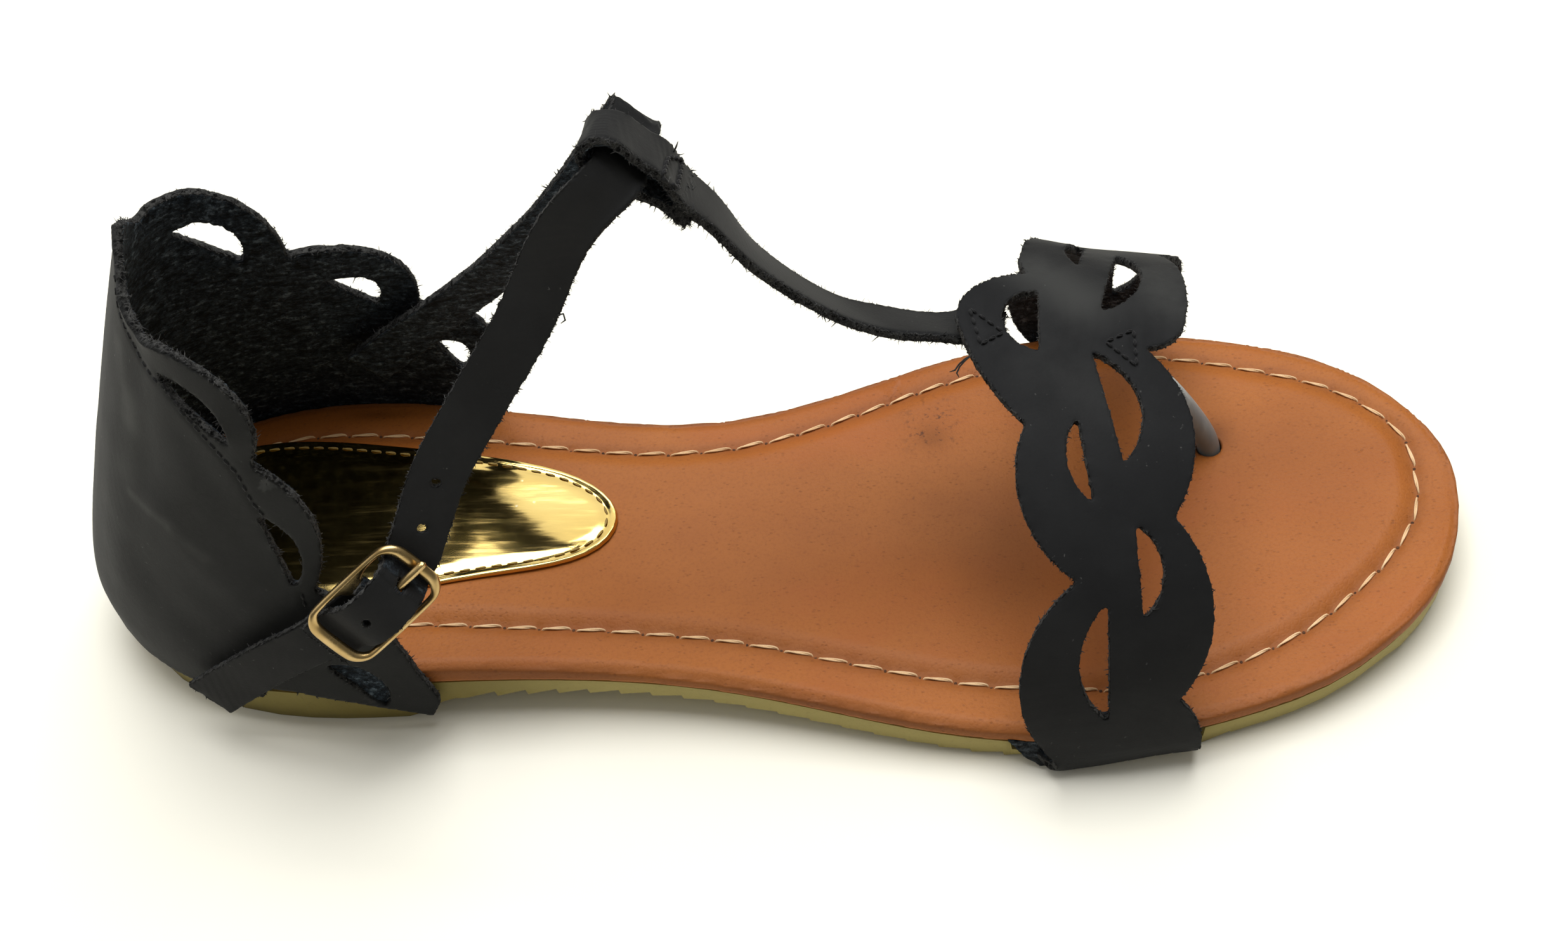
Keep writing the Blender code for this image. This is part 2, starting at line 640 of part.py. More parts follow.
def make_footbed():
    angles = list(np.linspace(0, math.pi, 43)[1:-1])

    def low(x, side):
        return footbed_low_z(x)

    def foot(x, side):
        return footbed_low_z(x) + FOOTBED_FOOT

    def shoulder(x, side):
        return footbed_edge_z(x) - FOOTBED_ROUND

    def rounded(x, side):
        return footbed_edge_z(x) - 0.3 * FOOTBED_ROUND

    def top(x, side):
        return footbed_edge_z(x)

    rows = (
        (FOOTBED_FOOT, low), (0.0, foot), (0.0, shoulder), (0.3 * FOOTBED_ROUND, rounded),
        (FOOTBED_ROUND, top))
    bed = loft("footbed", levels(SOLE, angles, rows), lambda x, y: footbed_low_z(x), footbed_z, 6)
    combine(bed, tube("post_hole", post_path(), POST_RADIUS + GAP, 16), "DIFFERENCE")


def make_heel_pad():
    angles = list(np.linspace(0, math.pi, 27)[1:-1])

    def under(x, y):
        return footbed_z(x, y) + GAP

    def over(x, y):
        return footbed_z(x, y) + GAP + PAD_WALL

    low_ring = [(x, y, under(x, y)) for x, y, side in PAD.ring(angles, 0.0)]
    high_ring = [(x, y, over(x, y)) for x, y, side in PAD.ring(angles, PAD_SLOPE)]
    loft("heel_pad", [low_ring, high_ring], under, over, 4)


def make_heel_counter():
    outer, inner = COUNTER_TUCK
    low = -COUNTER_TUCK_LENGTH
    tuck = [(inner, 0.0), (inner, low), (outer, low), (outer, 0.0)]
    outline = edge(COUNTER_CORNER, COUNTER_EDGE, 3.0)
    start = COUNTER_EDGE[-1][:2]
    for end in (*tuck, (-56.0, 0.0), COUNTER_CORNER):
        outline += arc(start, end, 0.0, 3.0)
        start = end
    outline = [np.array(point) for point in reversed(outline)]
    holes = [half_moon(row, 2.2) for row in COUNTER_HOLES]
    leather("heel_counter", outline, holes, counter_point, 6.0)


def make_front_strap():
    outer_tuck = [(-TUCK, STRAP_FOOT_X[1]), (-TUCK, STRAP_FOOT_X[0]), STRAP_REAR_START]
    inner_end = STRAP_FRONT_START[0] + TUCK
    inner_tuck = [(inner_end, STRAP_FOOT_X[0]), (inner_end, STRAP_FOOT_X[1]), STRAP_FRONT_START]
    outline = edge(STRAP_REAR_START, [(run, x, -bulge) for run, x, bulge in STRAP_REAR_EDGE], 3.0)
    start = STRAP_REAR_EDGE[-1][:2]
    for end in inner_tuck:
        outline += arc(start, end, 0.0, 2.0)
        start = end
    outline += edge(STRAP_FRONT_START, [(run, x, -bulge) for run, x, bulge in STRAP_FRONT_EDGE], 3.0)
    start = STRAP_FRONT_EDGE[-1][:2]
    for end in outer_tuck:
        outline += arc(start, end, 0.0, 2.0)
        start = end
    holes = [half_moon(row, 2.2) for row in STRAP_HOLES]
    whole = STRAP_FRONT_START[0]
    middle = whole / 2

    def fitted(run, x):
        """The pattern's inner half takes up what the arch is shorter than the pattern."""
        if run > whole:
            return front_strap_point(run - whole + STRAP_RUN, x)
        if run > middle:
            return front_strap_point(middle + (run - middle) * (STRAP_RUN - middle) / middle, x)
        return front_strap_point(run, x)

    leather("front_strap", outline, holes, fitted, 5.0)


def t_strap_lines():
    """Middle line and side direction of the T-strap, with its loop."""
    middles = [row[:3] for row in T_STRAP_RUN]
    rolls = [row[3] for row in T_STRAP_RUN]
    centre = LOOP_TOP - LOOP_RADIUS * LOOP_NORMAL
    loop = [(run, LOOP_RADIUS) for run in LOOP_RUN]
    for turn in np.radians((45, 90, 135)):
        loop.append((-LOOP_RADIUS * math.sin(turn), LOOP_RADIUS * math.cos(turn)))
    loop += [(0.0, -LOOP_RADIUS), *LOOP_RETURN]
    for run, height in loop:
        middles.append(centre + run * LOOP_SLOPE + height * LOOP_NORMAL)
        rolls.append(LOOP_ROLL)
    return middles, rolls


def make_t_strap():
    middles, rolls = t_strap_lines()
    path = through([(*middle, roll) for middle, roll in zip(middles, rolls)], 84)
    sides = [np.array([0.0, math.cos(roll), -math.sin(roll)]) for roll in np.radians(path[:, 3])]
    ribbon("t_strap", path[:, :3], sides, T_WIDTH, STRAP_WALL)


def make_ankle_strap():
    rows = [(x, y, z, 0.68, lean, -0.70) for x, y, z, lean in ANKLE_RUN]
    rows += [(*in_buckle(*row), *BUCKLE_Y) for row in ANKLE_IN_BUCKLE]
    count = 100
    path, sides = np.hsplit(through(rows, count), 2)
    strap = ribbon("ankle_strap", path, sides, ANKLE_WIDTH, STRAP_WALL)
    forward = np.gradient(path, axis=0)
    for number, share in enumerate(ANKLE_PUNCHES):
        i = round(share * (count - 1))
        through_strap = 2 * STRAP_WALL * unit(np.cross(forward[i], sides[i]))
        punch = tube(f"punch_{number}", [path[i] - through_strap, path[i] + through_strap], PUNCH_RADIUS, 10)
        combine(strap, punch, "DIFFERENCE")
    slot = [in_buckle(along, 0, prong_height()) for along in (2.0, 4.0, 6.0, 8.0)]
    combine(strap, tube("prong_slot", slot, PRONG_WIRE + GAP, 10), "DIFFERENCE")


def prong_height():
    """Height of the prong's wire over the plane of the frame."""
    return BUCKLE_WIRE + GAP + PRONG_WIRE


def make_buckle_tab():
    wrap = BUCKLE_WIRE + GAP + TAB_WALL / 2
    rows = [(*row, *TAB_SIDE) for row in TAB_RUN]
    rows += [(*in_buckle(along, 0, out), *BUCKLE_Y) for along, out in TAB_IN_BUCKLE]
    for turn in np.radians(TAB_WRAP):
        rows.append((*in_buckle(wrap * math.cos(turn), 0, wrap * math.sin(turn)), *BUCKLE_Y))
    path, sides = np.hsplit(through(rows, 40), 2)
    tab = ribbon("buckle_tab", path, sides, ANKLE_WIDTH, TAB_WALL)
    corners = []
    for along in SLOT_ALONG:
        corners += [in_buckle(along, across, out) for across in (-PRONG_SLOT, PRONG_SLOT) for out in SLOT_OUT]
    faces = ((2, 3, 1, 0), (5, 7, 6, 4), (1, 5, 4, 0), (6, 7, 3, 2), (4, 6, 2, 0), (3, 7, 5, 1))
    combine(tab, new_object("prong_gate", corners, faces), "DIFFERENCE")


def buckle_ring(wider, out):
    """A rounded rectangle round the buckle, wider by a given step than the middle of its band."""
    end_corner = BUCKLE_CORNER + wider
    side_corner = BUCKLE_CORNER + wider * BUCKLE_SIDE_BAND / BUCKLE_BAND
    length = BUCKLE_LENGTH / 2 - BUCKLE_BAND - BUCKLE_CORNER
    width = BUCKLE_WIDTH / 2 - BUCKLE_SIDE_BAND - BUCKLE_CORNER
    ring = []
    for quarter, (sign_along, sign_across) in enumerate(((1, 1), (-1, 1), (-1, -1), (1, -1))):
        for turn in (np.linspace(0, 1, 5) + quarter) * math.pi / 2:
            along = sign_along * length + end_corner * math.cos(turn)
            across = sign_across * width + side_corner * math.sin(turn)
            ring.append(in_buckle(along, across, out))
    return ring


def make_buckle():
    rings = []
    for turn in np.arange(10) * math.pi / 5:
        rings.append(buckle_ring(BUCKLE_BAND * math.cos(turn), BUCKLE_WIRE * math.sin(turn)))
    count = len(rings[0])
    faces = []
    for level in range(len(rings)):
        for i in range(count):
            j = (i + 1) % count
            low, high = level * count, (level + 1) % len(rings) * count
            faces.append((low + i, low + j, high + j, high + i))
    frame = new_object("buckle_frame", [point for ring in rings for point in ring], faces)
    width = BUCKLE_WIDTH / 2 - BUCKLE_SIDE_BAND
    bar = tube("centre_bar", [in_buckle(0, share * width, 0) for share in (-1, 0, 1)], BAR_WIRE, 10)
    combine(frame, bar, "UNION")
    hook = prong_height()
    path = []
    for turn in np.radians(np.arange(-60, -271, -30)):
        path.append(in_buckle(hook * math.cos(turn), 0, hook * math.sin(turn)))
    path += [in_buckle(along, 0, hook) for along in np.linspace(2.0, PRONG_TIP, 6)]
    tube("buckle_prong", path, PRONG_WIRE, 8)


def post_path():
    return through(POST_RUN, 18)


def make_toe_post():
    tube("toe_post", post_path(), POST_RADIUS, 14)


def main():
    for old in list(bpy.data.objects):
        bpy.data.objects.remove(old)
    make_outsole()
    make_footbed()
    make_heel_pad()
    make_heel_counter()
    make_front_strap()
    make_t_strap()
    make_ankle_strap()
    make_buckle_tab()
    make_buckle()
    make_toe_post()


main()
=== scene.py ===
"""Looks of the toe post sandal: its leathers, stitching, foil, metal and rubber, round the solids.

Lengths are metres. A place read from the photograph is a pixel of its 2472 by 1484 frame, and a line of
sight carries it onto the piece that it lies on.
"""
import math
from contextlib import contextmanager

import bpy
import numpy as np
from mathutils import Matrix, Vector, noise
from mathutils.bvhtree import BVHTree


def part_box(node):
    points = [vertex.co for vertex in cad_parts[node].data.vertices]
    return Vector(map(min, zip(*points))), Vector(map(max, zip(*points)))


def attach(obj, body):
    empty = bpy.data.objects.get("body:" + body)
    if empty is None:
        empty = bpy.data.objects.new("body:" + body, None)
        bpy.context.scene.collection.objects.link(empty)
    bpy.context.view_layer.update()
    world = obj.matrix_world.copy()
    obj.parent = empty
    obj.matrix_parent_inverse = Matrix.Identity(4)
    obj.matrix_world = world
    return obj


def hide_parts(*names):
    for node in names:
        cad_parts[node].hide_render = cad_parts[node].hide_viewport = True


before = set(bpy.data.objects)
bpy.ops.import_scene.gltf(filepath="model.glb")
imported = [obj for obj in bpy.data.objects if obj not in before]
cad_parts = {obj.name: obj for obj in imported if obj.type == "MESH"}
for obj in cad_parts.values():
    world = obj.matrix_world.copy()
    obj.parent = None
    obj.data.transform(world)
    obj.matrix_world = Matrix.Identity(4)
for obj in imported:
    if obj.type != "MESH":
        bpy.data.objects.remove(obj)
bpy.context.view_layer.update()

MM = 0.001
UP = Vector((0, 0, 1))
SEED = 7

# Copies of solids: welding distance, and angles of edges and of joined triangles
WELD = 0.01 * MM
SHARP = math.radians(35)
QUAD_SKEW = math.radians(70)
CREASED = math.radians(60)
SHADED_SHARP = math.radians(50)

# Camera, as the photograph was taken
PHOTO_WIDTH = 2472
PHOTO_HEIGHT = 1484
FOCAL_PIXELS = 3600
SENSOR_WIDTH = 36
CLIP_START = 0.01
CAMERA_PLACE = Vector((0.04631, -0.26192, 0.33516))
CAMERA_YAW = math.radians(8.858)
CAMERA_PITCH = math.radians(49.307)
CAMERA_ROLL = math.radians(-9.427)

# Distances from the camera, in millimetres, where a line of sight that misses a piece looks for it
MISS_REACHES = range(300, 560, 4)

# Heights from which a piece is looked for, from above, from below and close over a seam
RAY_TOP = 0.1
RAY_BOTTOM = -0.01
RAY_LIFT = 5 * MM

# Outline of a flat solid: points round it, and samples along each of its edges
RIM_POINTS = 360
RIM_SAMPLES = 61

# Lines: points to either side that give a direction, evening rounds, least square of a stretch
INSET_SPAN = 4
INSET_ROUNDS = 6
LEAST_SQUARE = 1e-12

# Upright share of a normal from which a face belongs to the top of a flat piece
TOP_FACING = (0.3, 0.8)

# Twisted stitch, in shares of the thread
STITCH_TWIST = 1.3 * math.pi
STITCH_RISE = 0.55
STITCH_DIVE = 2.4
STITCH_SQUARENESS = 8
STRAND_SPREAD = 0.3
STRAND_LIFT = 0.22
STRAND_RADIUS = 0.38
STRAND_SIDES = 5

# Footbed mesh; waves are given here and below by height, lumps in a metre and offset
FOOTBED_SPACING = 0.8 * MM
FOOTBED_ROUNDS = 3
FOOTBED_WAVES = ((0.35 * MM, 16, 0.0), (0.1 * MM, 70, 2.2))

# Sloped edge of the footbed: its drop changes across the shoe from an inner share to the whole
EDGE_RUN = 1.9 * MM
EDGE_DROP = 1.9 * MM
EDGE_INNER_SHARE = 0.3
EDGE_CHANGE = (10 * MM, -20 * MM)
EDGE_LEVEL = 0.6 * MM

# Footbed seam: share of the length, then millimetres in from the rim on the inner and on the outer side
SEAM_INSETS = (
    (0.00, 8.5, 8.5), (0.13, 7.7, 10.0), (0.2, 9.2, 10.8), (0.25, 9.0, 10.8), (0.29, 8.4, 9.9),
    (0.34, 8.1, 9.3), (0.42, 7.5, 8.9), (0.6, 6.1, 9.4), (0.7, 6.2, 9.4), (0.8, 6.1, 8.9),
    (0.88, 6.8, 10.4), (0.95, 5.4, 11.3), (0.98, 4.8, 10.2), (0.99, 4.8, 9.2), (1.00, 6.8, 6.8))
SEAM_PITCH = 6.2 * MM
SEAM_STITCH = 5.7 * MM
SEAM_THREAD = 0.48 * MM
SEAM_POINTS = 10
SEAM_SLANT = math.radians(5)

# Border outside the seam: its drop and the run of it, then the groove and the holes as depth and width
SEAM_STEP = 1.0 * MM
SEAM_STEP_RUN = (0.3 * MM, 3.9 * MM)
SEAM_GROOVE = (0.25 * MM, 0.9 * MM)
SEAM_HOLE = (0.35 * MM, 0.8 * MM)
SEAM_HOLE_REACH = 3 * MM

# Dark plug in each needle hole, painted shade of the hole: heights over the leatherette, radii there, sides
PLUG_HEIGHTS = (-0.3 * MM, 0.04 * MM, 0.06 * MM)
PLUG_RADII = (0.3 * MM, 0.3 * MM, 0.15 * MM)
PLUG_SIDES = 10

# Darkening on the footbed: by the seam, grime round the foot of the toe post, painted shade on the side
# wall, and where it shows
SEAM_DARKENING = 0.35
SEAM_DARKENING_WIDTH = 1.6 * MM
POST_FOOT = (1903, 697)
POST_GRIME_WIDTH = 3.6 * MM
WALL_SHADE = 0.4
GRIME_AND_SHADE_FACING = (-0.6, 0.2)

# Painted shade along the rim: distance inside it, strength, and how much less there is towards the toe
RIM_SHADE_RUN = (2.4 * MM, 0.9 * MM)
RIM_SHADE = 0.26
RIM_SHADE_LOSS = 0.16
RIM_SHADE_LOSS_RUN = (10 * MM, 80 * MM)

# Brown smudges on the footbed, partly painted shade beside the front strap: pixel, width, strength
SMUDGES_AND_STRAP_SHADE = (
    ((1440, 670), 9 * MM, 0.12), ((1470, 690), 3 * MM, 0.35), ((1500, 790), 14 * MM, 0.22),
    ((1590, 900), 12 * MM, 0.26), ((1200, 930), 20 * MM, 0.12), ((2020, 700), 16 * MM, 0.12),
    ((1420, 1010), 16 * MM, 0.14))

# Dark specked stain on the footbed: pixel, width, and its squeeze along each axis
STAIN = (1468, 672)
STAIN_WIDTH = 4.2 * MM
STAIN_SQUEEZE = (1, 0.7, 1)

# Upright share of a normal where the rounded edge of the footbed gets a painted highlight
RIM_HIGHLIGHT_FACING = (0.95, 0.6)

# Border seam of the heel pad, its groove as depth and width, and the waves of the foil
PAD_SEAM_INSET = 1.9 * MM
PAD_SEAM_PITCH = 2.9 * MM
PAD_SEAM_STITCH = 2.4 * MM
PAD_SEAM_THREAD = 0.32 * MM
PAD_SEAM_POINTS = 6
PAD_SEAM_GROOVE = (0.3 * MM, 0.9 * MM)
PAD_WAVES = ((0.12 * MM, 34, 0.0),)

# Rounded edges of the outsole
OUTSOLE_BEVEL = 0.22 * MM

# Leather walls: waves, ragged cut edges, and the share of that on the flesh side
LEATHER_WAVES = ((0.3 * MM, 28, 0.0), (0.12 * MM, 90, 3.1))
RAGGED_EDGE = ((0.24 * MM, 1000, 1.7),)
RAGGED_FLESH = 0.35

# Sides of a leather wall, told by the depth of leather behind a point and by how it faces; evening step
WALL_START = 0.15 * MM
WALL_REACH = 0.02
CUT_DEPTH = (2.3 * MM, 3.4 * MM)
CUT_FACING = (0.62, 0.88)
CUT_LEAST = 0.05
EVENING_STEP = 0.5
FLESH_FACING = (0.15, -0.15)
SIDE_FACING = 0.3

# Middles that leather faces away from: the heel's, the forefoot's and that of the T-strap's loop
HEEL_MIDDLE = Vector((-0.078, 0.0005, 0.03))
FOREFOOT_MIDDLE = np.array([0, 0.002, 0.012])
LOOP_MIDDLE = np.array([-0.011, 0.0014, 0.1021])

# T-strap: the way its straight stretch faces, and where along the shoe its loop starts
T_STRAP_FACING = (0.55, 0.0, 0.83)
LOOP_START = -0.004

# Ankle strap: half the width of the instep, and the way the strap faces
INSTEP_HALF = 15 * MM
ANKLE_BACK = -0.2
ANKLE_UP = 0.25
INSTEP_UP = 1.2

# Black seams on the leather: pixels along each seam
BLACK_SEAMS = {
    "heel_counter": (
        ((185, 408), (187, 490), (222, 568), (263, 617), (304, 670), (340, 711), (373, 748), (397, 793),
         (416, 815)),
        ((475, 936), (481, 958))),
    "front_strap": (
        ((1528, 486), (1582, 524), (1546, 543), (1528, 486)),
        ((1787, 520), (1743, 539), (1792, 577), (1787, 520))),
    "t_strap": (
        ((1054, 248), (1075, 253), (1067, 300), (1043, 277), (1054, 248)),)}
BLACK_THREADS = {"heel_counter": 0.32 * MM, "front_strap": 0.46 * MM, "t_strap": 0.64 * MM}
BLACK_PITCH = 1.9 * MM
BLACK_STITCH = 1.5 * MM
BLACK_POINTS = 5
BLACK_SUNK = 0.15 * MM
BLACK_GROOVE = (0.22 * MM, 0.7 * MM)

# Soft dents and ridges of the counter: pixels of each end, width, height
COUNTER_FOLDS = (
    ((215, 560), (232, 760), 5 * MM, -0.5 * MM), ((175, 700), (195, 900), 7 * MM, 0.4 * MM),
    ((250, 800), (400, 960), 5 * MM, 0.4 * MM), ((230, 900), (330, 1010), 6 * MM, -0.4 * MM),
    ((300, 700), (420, 890), 4 * MM, -0.3 * MM))

# Pale rubs and painted highlights on the counter, and a painted highlight on the crown of the front strap:
# pixels of each end, width, strength
RUBS_AND_HIGHLIGHTS = {
    "heel_counter": (
        ((186, 545), (204, 660), 2.6 * MM, 0.55), ((204, 640), (196, 740), 3.5 * MM, 0.35),
        ((205, 778), (262, 828), 1.1 * MM, 0.55), ((262, 828), (320, 880), 1.6 * MM, 0.3),
        ((168, 800), (176, 900), 5.0 * MM, 0.25)),
    "front_strap": (
        ((1620, 420), (1700, 470), 6.0 * MM, 0.55), ((1780, 430), (1850, 470), 6.0 * MM, 0.5),
        ((1640, 560), (1720, 620), 6.0 * MM, 0.14))}

# Tucked flap of the front strap beside the sole: pixel of each corner, and its place across the shoe
FLAP_CORNERS = (
    ((1589, 1166), -44.9 * MM), ((1632, 1166), -44.8 * MM), ((1660, 1206), -46.9 * MM),
    ((1640, 1205), -46.6 * MM), ((1614, 1190), -45.6 * MM))
FLAP_WALL = 0.9 * MM
FLAP_SPACING = 0.2 * MM
FLAP_CUT = 0.4
FLAP_NAP = ((0.15 * MM, 900, 5.0),)

# Low outer fold of the front strap: sag, bulge, and where they grow across the shoe, down and along it
FOLD_SAG = 1.3 * MM
FOLD_BULGE = 0.7 * MM
FOLD_ACROSS = (-38 * MM, -43 * MM)
FOLD_DOWN = (10 * MM, 3 * MM)
FOLD_ALONG = (0.068, 0.05)
FOLD_LOWEST = 0.4 * MM

# Lowest cut-out of the counter, closed behind by suede: pixels round it
BACKED_CUTOUT = ((512, 1042), (562, 1040), (608, 1066), (632, 1114), (588, 1120), (540, 1096))
BACKING_DEPTH = 1.25 * MM
BACKING_RINGS = 9
BACKING_LEVELS = 3
BACKING_WALL = 0.4 * MM
BACKING_NAP = ((0.12 * MM, 900, 4.0),)

# Fibres on raw leather; sizes are radii in millimetres of single ones and of clumps
FIBRES_ON_FLESH = 0.06
FIBRE_LOWEST = 9 * MM
FIBRE_LEAN = 0.8
FIBRE_BEND = 0.42
FIBRE_ROOT = 0.1 * MM
FIBRE_SHORTEST = 0.25
FIBRE_RARENESS = 1.5
FIBRE_SIZES = (0.05, 0.07, 0.15)
FIBRE_TAPER = (1.0, 0.8, 0.25)
FIBRE_SIDES = 3

# Loose thread ends: piece, pixel of the start, and way right and up in the picture in millimetres
LOOSE_ENDS = (
    ("front_strap", (1531, 560), ((-1.0, -0.6), (-2.0, -1.5), (-2.7, -2.5), (-3.6, -2.8))),
    ("front_strap", (1531, 560), ((-1.0, -0.9), (-1.9, -1.9), (-2.4, -3.0), (-2.0, -3.7))),
    ("ankle_strap", (879, 497), ((0.9, 0.2), (1.2, -0.8), (0.5, -1.3))),
    ("t_strap", (1062, 240), ((0.4, 0.9), (0.7, 1.7))))
LOOSE_RADIUS = 0.16 * MM
LOOSE_TIP = 0.06 * MM

# Grain of each leather piece: its black, and its dusty black
LEATHER_TONES = {
    "heel_counter": ((0.0115, 0.012, 0.0122, 1), (0.019, 0.0197, 0.0198, 1)),
    "front_strap": ((0.0085, 0.0088, 0.0095, 1), (0.013, 0.0134, 0.0142, 1)),
    "t_strap": ((0.0095, 0.0098, 0.0104, 1), (0.0145, 0.0149, 0.0155, 1)),
    "ankle_strap": ((0.0115, 0.0118, 0.0124, 1), (0.017, 0.0174, 0.018, 1)),
    "buckle_tab": ((0.008, 0.0083, 0.0088, 1), (0.0125, 0.0129, 0.0135, 1))}

# Soft boxes: name, place, width, length, power in watts; all of them face one place
SOFT_BOXES = (
    ("overhead", (0.06, 0.45, 2.00), 1.6, 1.6, 46.5),
    ("back", (-0.1, 0.8, 0.8), 1.1, 0.6, 2.0),
    ("left_window", (-1.00, 0.05, 0.6), 0.7, 0.8, 1.4))
LIT_PLACE = Vector((0, 0, 0.03))

# Pale room round the shoe: colour, brightness level and overhead, and where it changes between them
ROOM_COLOUR = (1.0, 0.97, 0.89, 1)
ROOM_LEVEL = 0.04
ROOM_OVERHEAD = 0.34
ROOM_RISE = (0.0, 0.9)

# Floor: width, depth under the sole, and the light that it gives by itself, as a lit table does
FLOOR_SIZE = 6
FLOOR_DROP = 0.05 * MM
FLOOR_GLOW = 0.01


def lengths(ways):
    return np.linalg.norm(ways, axis=1)


def unit(ways):
    return ways / lengths(ways)[:, None]


def camera_lines():
    """The camera's right, up and forward lines."""
    right = Vector((math.cos(CAMERA_YAW), math.sin(CAMERA_YAW), 0))
    ahead = Vector((-math.sin(CAMERA_YAW), math.cos(CAMERA_YAW), 0))
    forward = ahead * math.cos(CAMERA_PITCH) - UP * math.sin(CAMERA_PITCH)
    above = ahead * math.sin(CAMERA_PITCH) + UP * math.cos(CAMERA_PITCH)
    turned_right = right * math.cos(CAMERA_ROLL) + above * math.sin(CAMERA_ROLL)
    turned_up = above * math.cos(CAMERA_ROLL) - right * math.sin(CAMERA_ROLL)
    return turned_right, turned_up, forward


def line_of_sight(pixel):
    right, above, forward = camera_lines()
    across = (pixel[0] - PHOTO_WIDTH / 2) / FOCAL_PIXELS
    down = (pixel[1] - PHOTO_HEIGHT / 2) / FOCAL_PIXELS
    return (forward + right * across - above * down).normalized()


def tree_of(piece):
    mesh = piece.data
    return BVHTree.FromPolygons([v.co for v in mesh.vertices], [f.vertices for f in mesh.polygons])


def seen(tree, pixel):
    """Where a pixel's line of sight meets a piece or comes nearest to it, and the way the piece faces."""
    sight = line_of_sight(pixel)
    spot, facing, _, _ = tree.ray_cast(CAMERA_PLACE, sight)
    if spot is None:
        passed = [tree.find_nearest(CAMERA_PLACE + sight * reach * MM) for reach in MISS_REACHES]
        spot, facing, _, _ = min(passed, key=lambda found: found[3])
    return spot, facing


def points_of(piece):
    flat = np.zeros(3 * len(piece.data.vertices))
    piece.data.vertices.foreach_get("co", flat)
    return flat.reshape(-1, 3)


def normals_of(piece):
    flat = np.zeros(3 * len(piece.data.vertices), np.float32)
    piece.data.vertex_normals.foreach_get("vector", flat)
    return flat.reshape(-1, 3).astype(float)


def set_points(piece, points):
    piece.data.vertices.foreach_set("co", points.astype(np.float32).ravel())
    piece.data.update()


def keep_values(piece, name, values):
    """Stores a number for each point, or one number for all of them, for the material to read."""
    stored = np.full(len(piece.data.vertices), values, np.float32)
    piece.data.attributes.new(name, "FLOAT", "POINT").data.foreach_set("value", stored)


def keep_sides(piece, cut, flesh):
    """Notes how much of a cut edge and of a flesh side each point is; no pale rub or painted highlight yet.
    """
    keep_values(piece, "cut", cut)
    keep_values(piece, "flesh", flesh)
    keep_values(piece, "rubs_and_highlight", 0.0)


def ease(values, low, high):
    """0 up to low, 1 from high, and smooth between them."""
    share = np.clip((values - low) / (high - low), 0, 1)
    return share * share * (3 - 2 * share)


def fade(distance, width):
    """1 where the distance is 0, falling softly away from there."""
    return np.exp(-(distance / width) ** 2)


def dent(distance, depth, width):
    return -depth * fade(distance, width)


def spot_fade(points, spot, width):
    return fade(lengths(points - np.array(spot)), width)


def cloud(points, scale, offset):
    """Soft noise from -1 to 1 at each point; scale is its number of lumps in a metre."""
    return np.array([noise.noise(Vector(p) * scale + Vector((offset, offset, offset))) for p in points])


def waves(points, layers):
    """Soft waves at each point; each layer has its height, lumps in a metre and offset."""
    return sum(height * cloud(points, scale, offset) for height, scale, offset in layers)


def placed(name, data):
    """A new object in the scene."""
    made = bpy.data.objects.new(name, data)
    bpy.context.collection.objects.link(made)
    return made


def take_up(piece):
    """Makes a piece the only one selected, and the active one."""
    bpy.ops.object.select_all(action="DESELECT")
    piece.select_set(True)
    bpy.context.view_layer.objects.active = piece


@contextmanager
def editing():
    """Edit mode for the active piece, with all of it selected."""
    bpy.ops.object.mode_set(mode="EDIT")
    bpy.ops.mesh.select_all(action="SELECT")
    yield
    bpy.ops.object.mode_set(mode="OBJECT")


def welded_copy(node, name):
    """A copy of a solid as a piece of its own, its triangles welded together."""
    piece = placed(name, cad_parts[node].data.copy())
    piece.data.materials.clear()
    take_up(piece)
    with editing():
        bpy.ops.mesh.remove_doubles(threshold=WELD)
    return piece


def use_modifier(piece, kind, **settings):
    modifier = piece.modifiers.new(kind.lower(), kind)
    for name, setting in settings.items():
        setattr(modifier, name, setting)
    take_up(piece)
    bpy.ops.object.modifier_apply(modifier=modifier.name)


def even_copy(node, name, spacing, rounds):
    """A copy of a solid with an even fine mesh and softened edges."""
    piece = welded_copy(node, name)
    piece.data.remesh_voxel_size = spacing
    bpy.ops.object.voxel_remesh()
    use_modifier(piece, "SMOOTH", factor=0.5, iterations=rounds)
    bpy.ops.object.shade_smooth()
    return piece


def rounded_copy(node, name, levels, crease):
    """A copy of a solid with its facets rounded; its sharp edges are held by the crease."""
    piece = welded_copy(node, name)
    with editing():
        bpy.ops.mesh.tris_convert_to_quads(face_threshold=SHARP, shape_threshold=QUAD_SKEW)
        bpy.ops.mesh.select_all(action="DESELECT")
        bpy.ops.mesh.edges_select_sharp(sharpness=CREASED)
        bpy.ops.transform.edge_crease(value=crease)
    use_modifier(piece, "SUBSURF", levels=levels, render_levels=levels)
    bpy.ops.object.shade_smooth_by_angle(angle=SHADED_SHARP)
    return piece


def ring_faces(rings, sides):
    """Faces between rings of points, and the face that closes the first ring."""
    faces = []
    for here in range(0, sides * (rings - 1), sides):
        for side in range(sides):
            beside = (side + 1) % sides
            faces.append([here + side, here + beside, here + sides + beside, here + sides + side])
    faces.append(list(range(sides))[::-1])
    return faces


def tube(line, radii, sides):
    """Points and faces of a closed tube along a line of points."""
    line = [Vector(p) for p in line]
    rings = []
    side = (line[1] - line[0]).orthogonal().normalized()
    for i, spot in enumerate(line):
        along = (line[min(i + 1, len(line) - 1)] - line[max(i - 1, 0)]).normalized()
        side = (side - along * side.dot(along)).normalized()
        other = along.cross(side)
        for step in range(sides):
            turn = 2 * math.pi * step / sides
            rings.append(spot + (side * math.cos(turn) + other * math.sin(turn)) * radii[i])
    faces = ring_faces(len(line), sides)
    faces.append([sides * (len(line) - 1) + step for step in range(sides)])
    return rings, faces


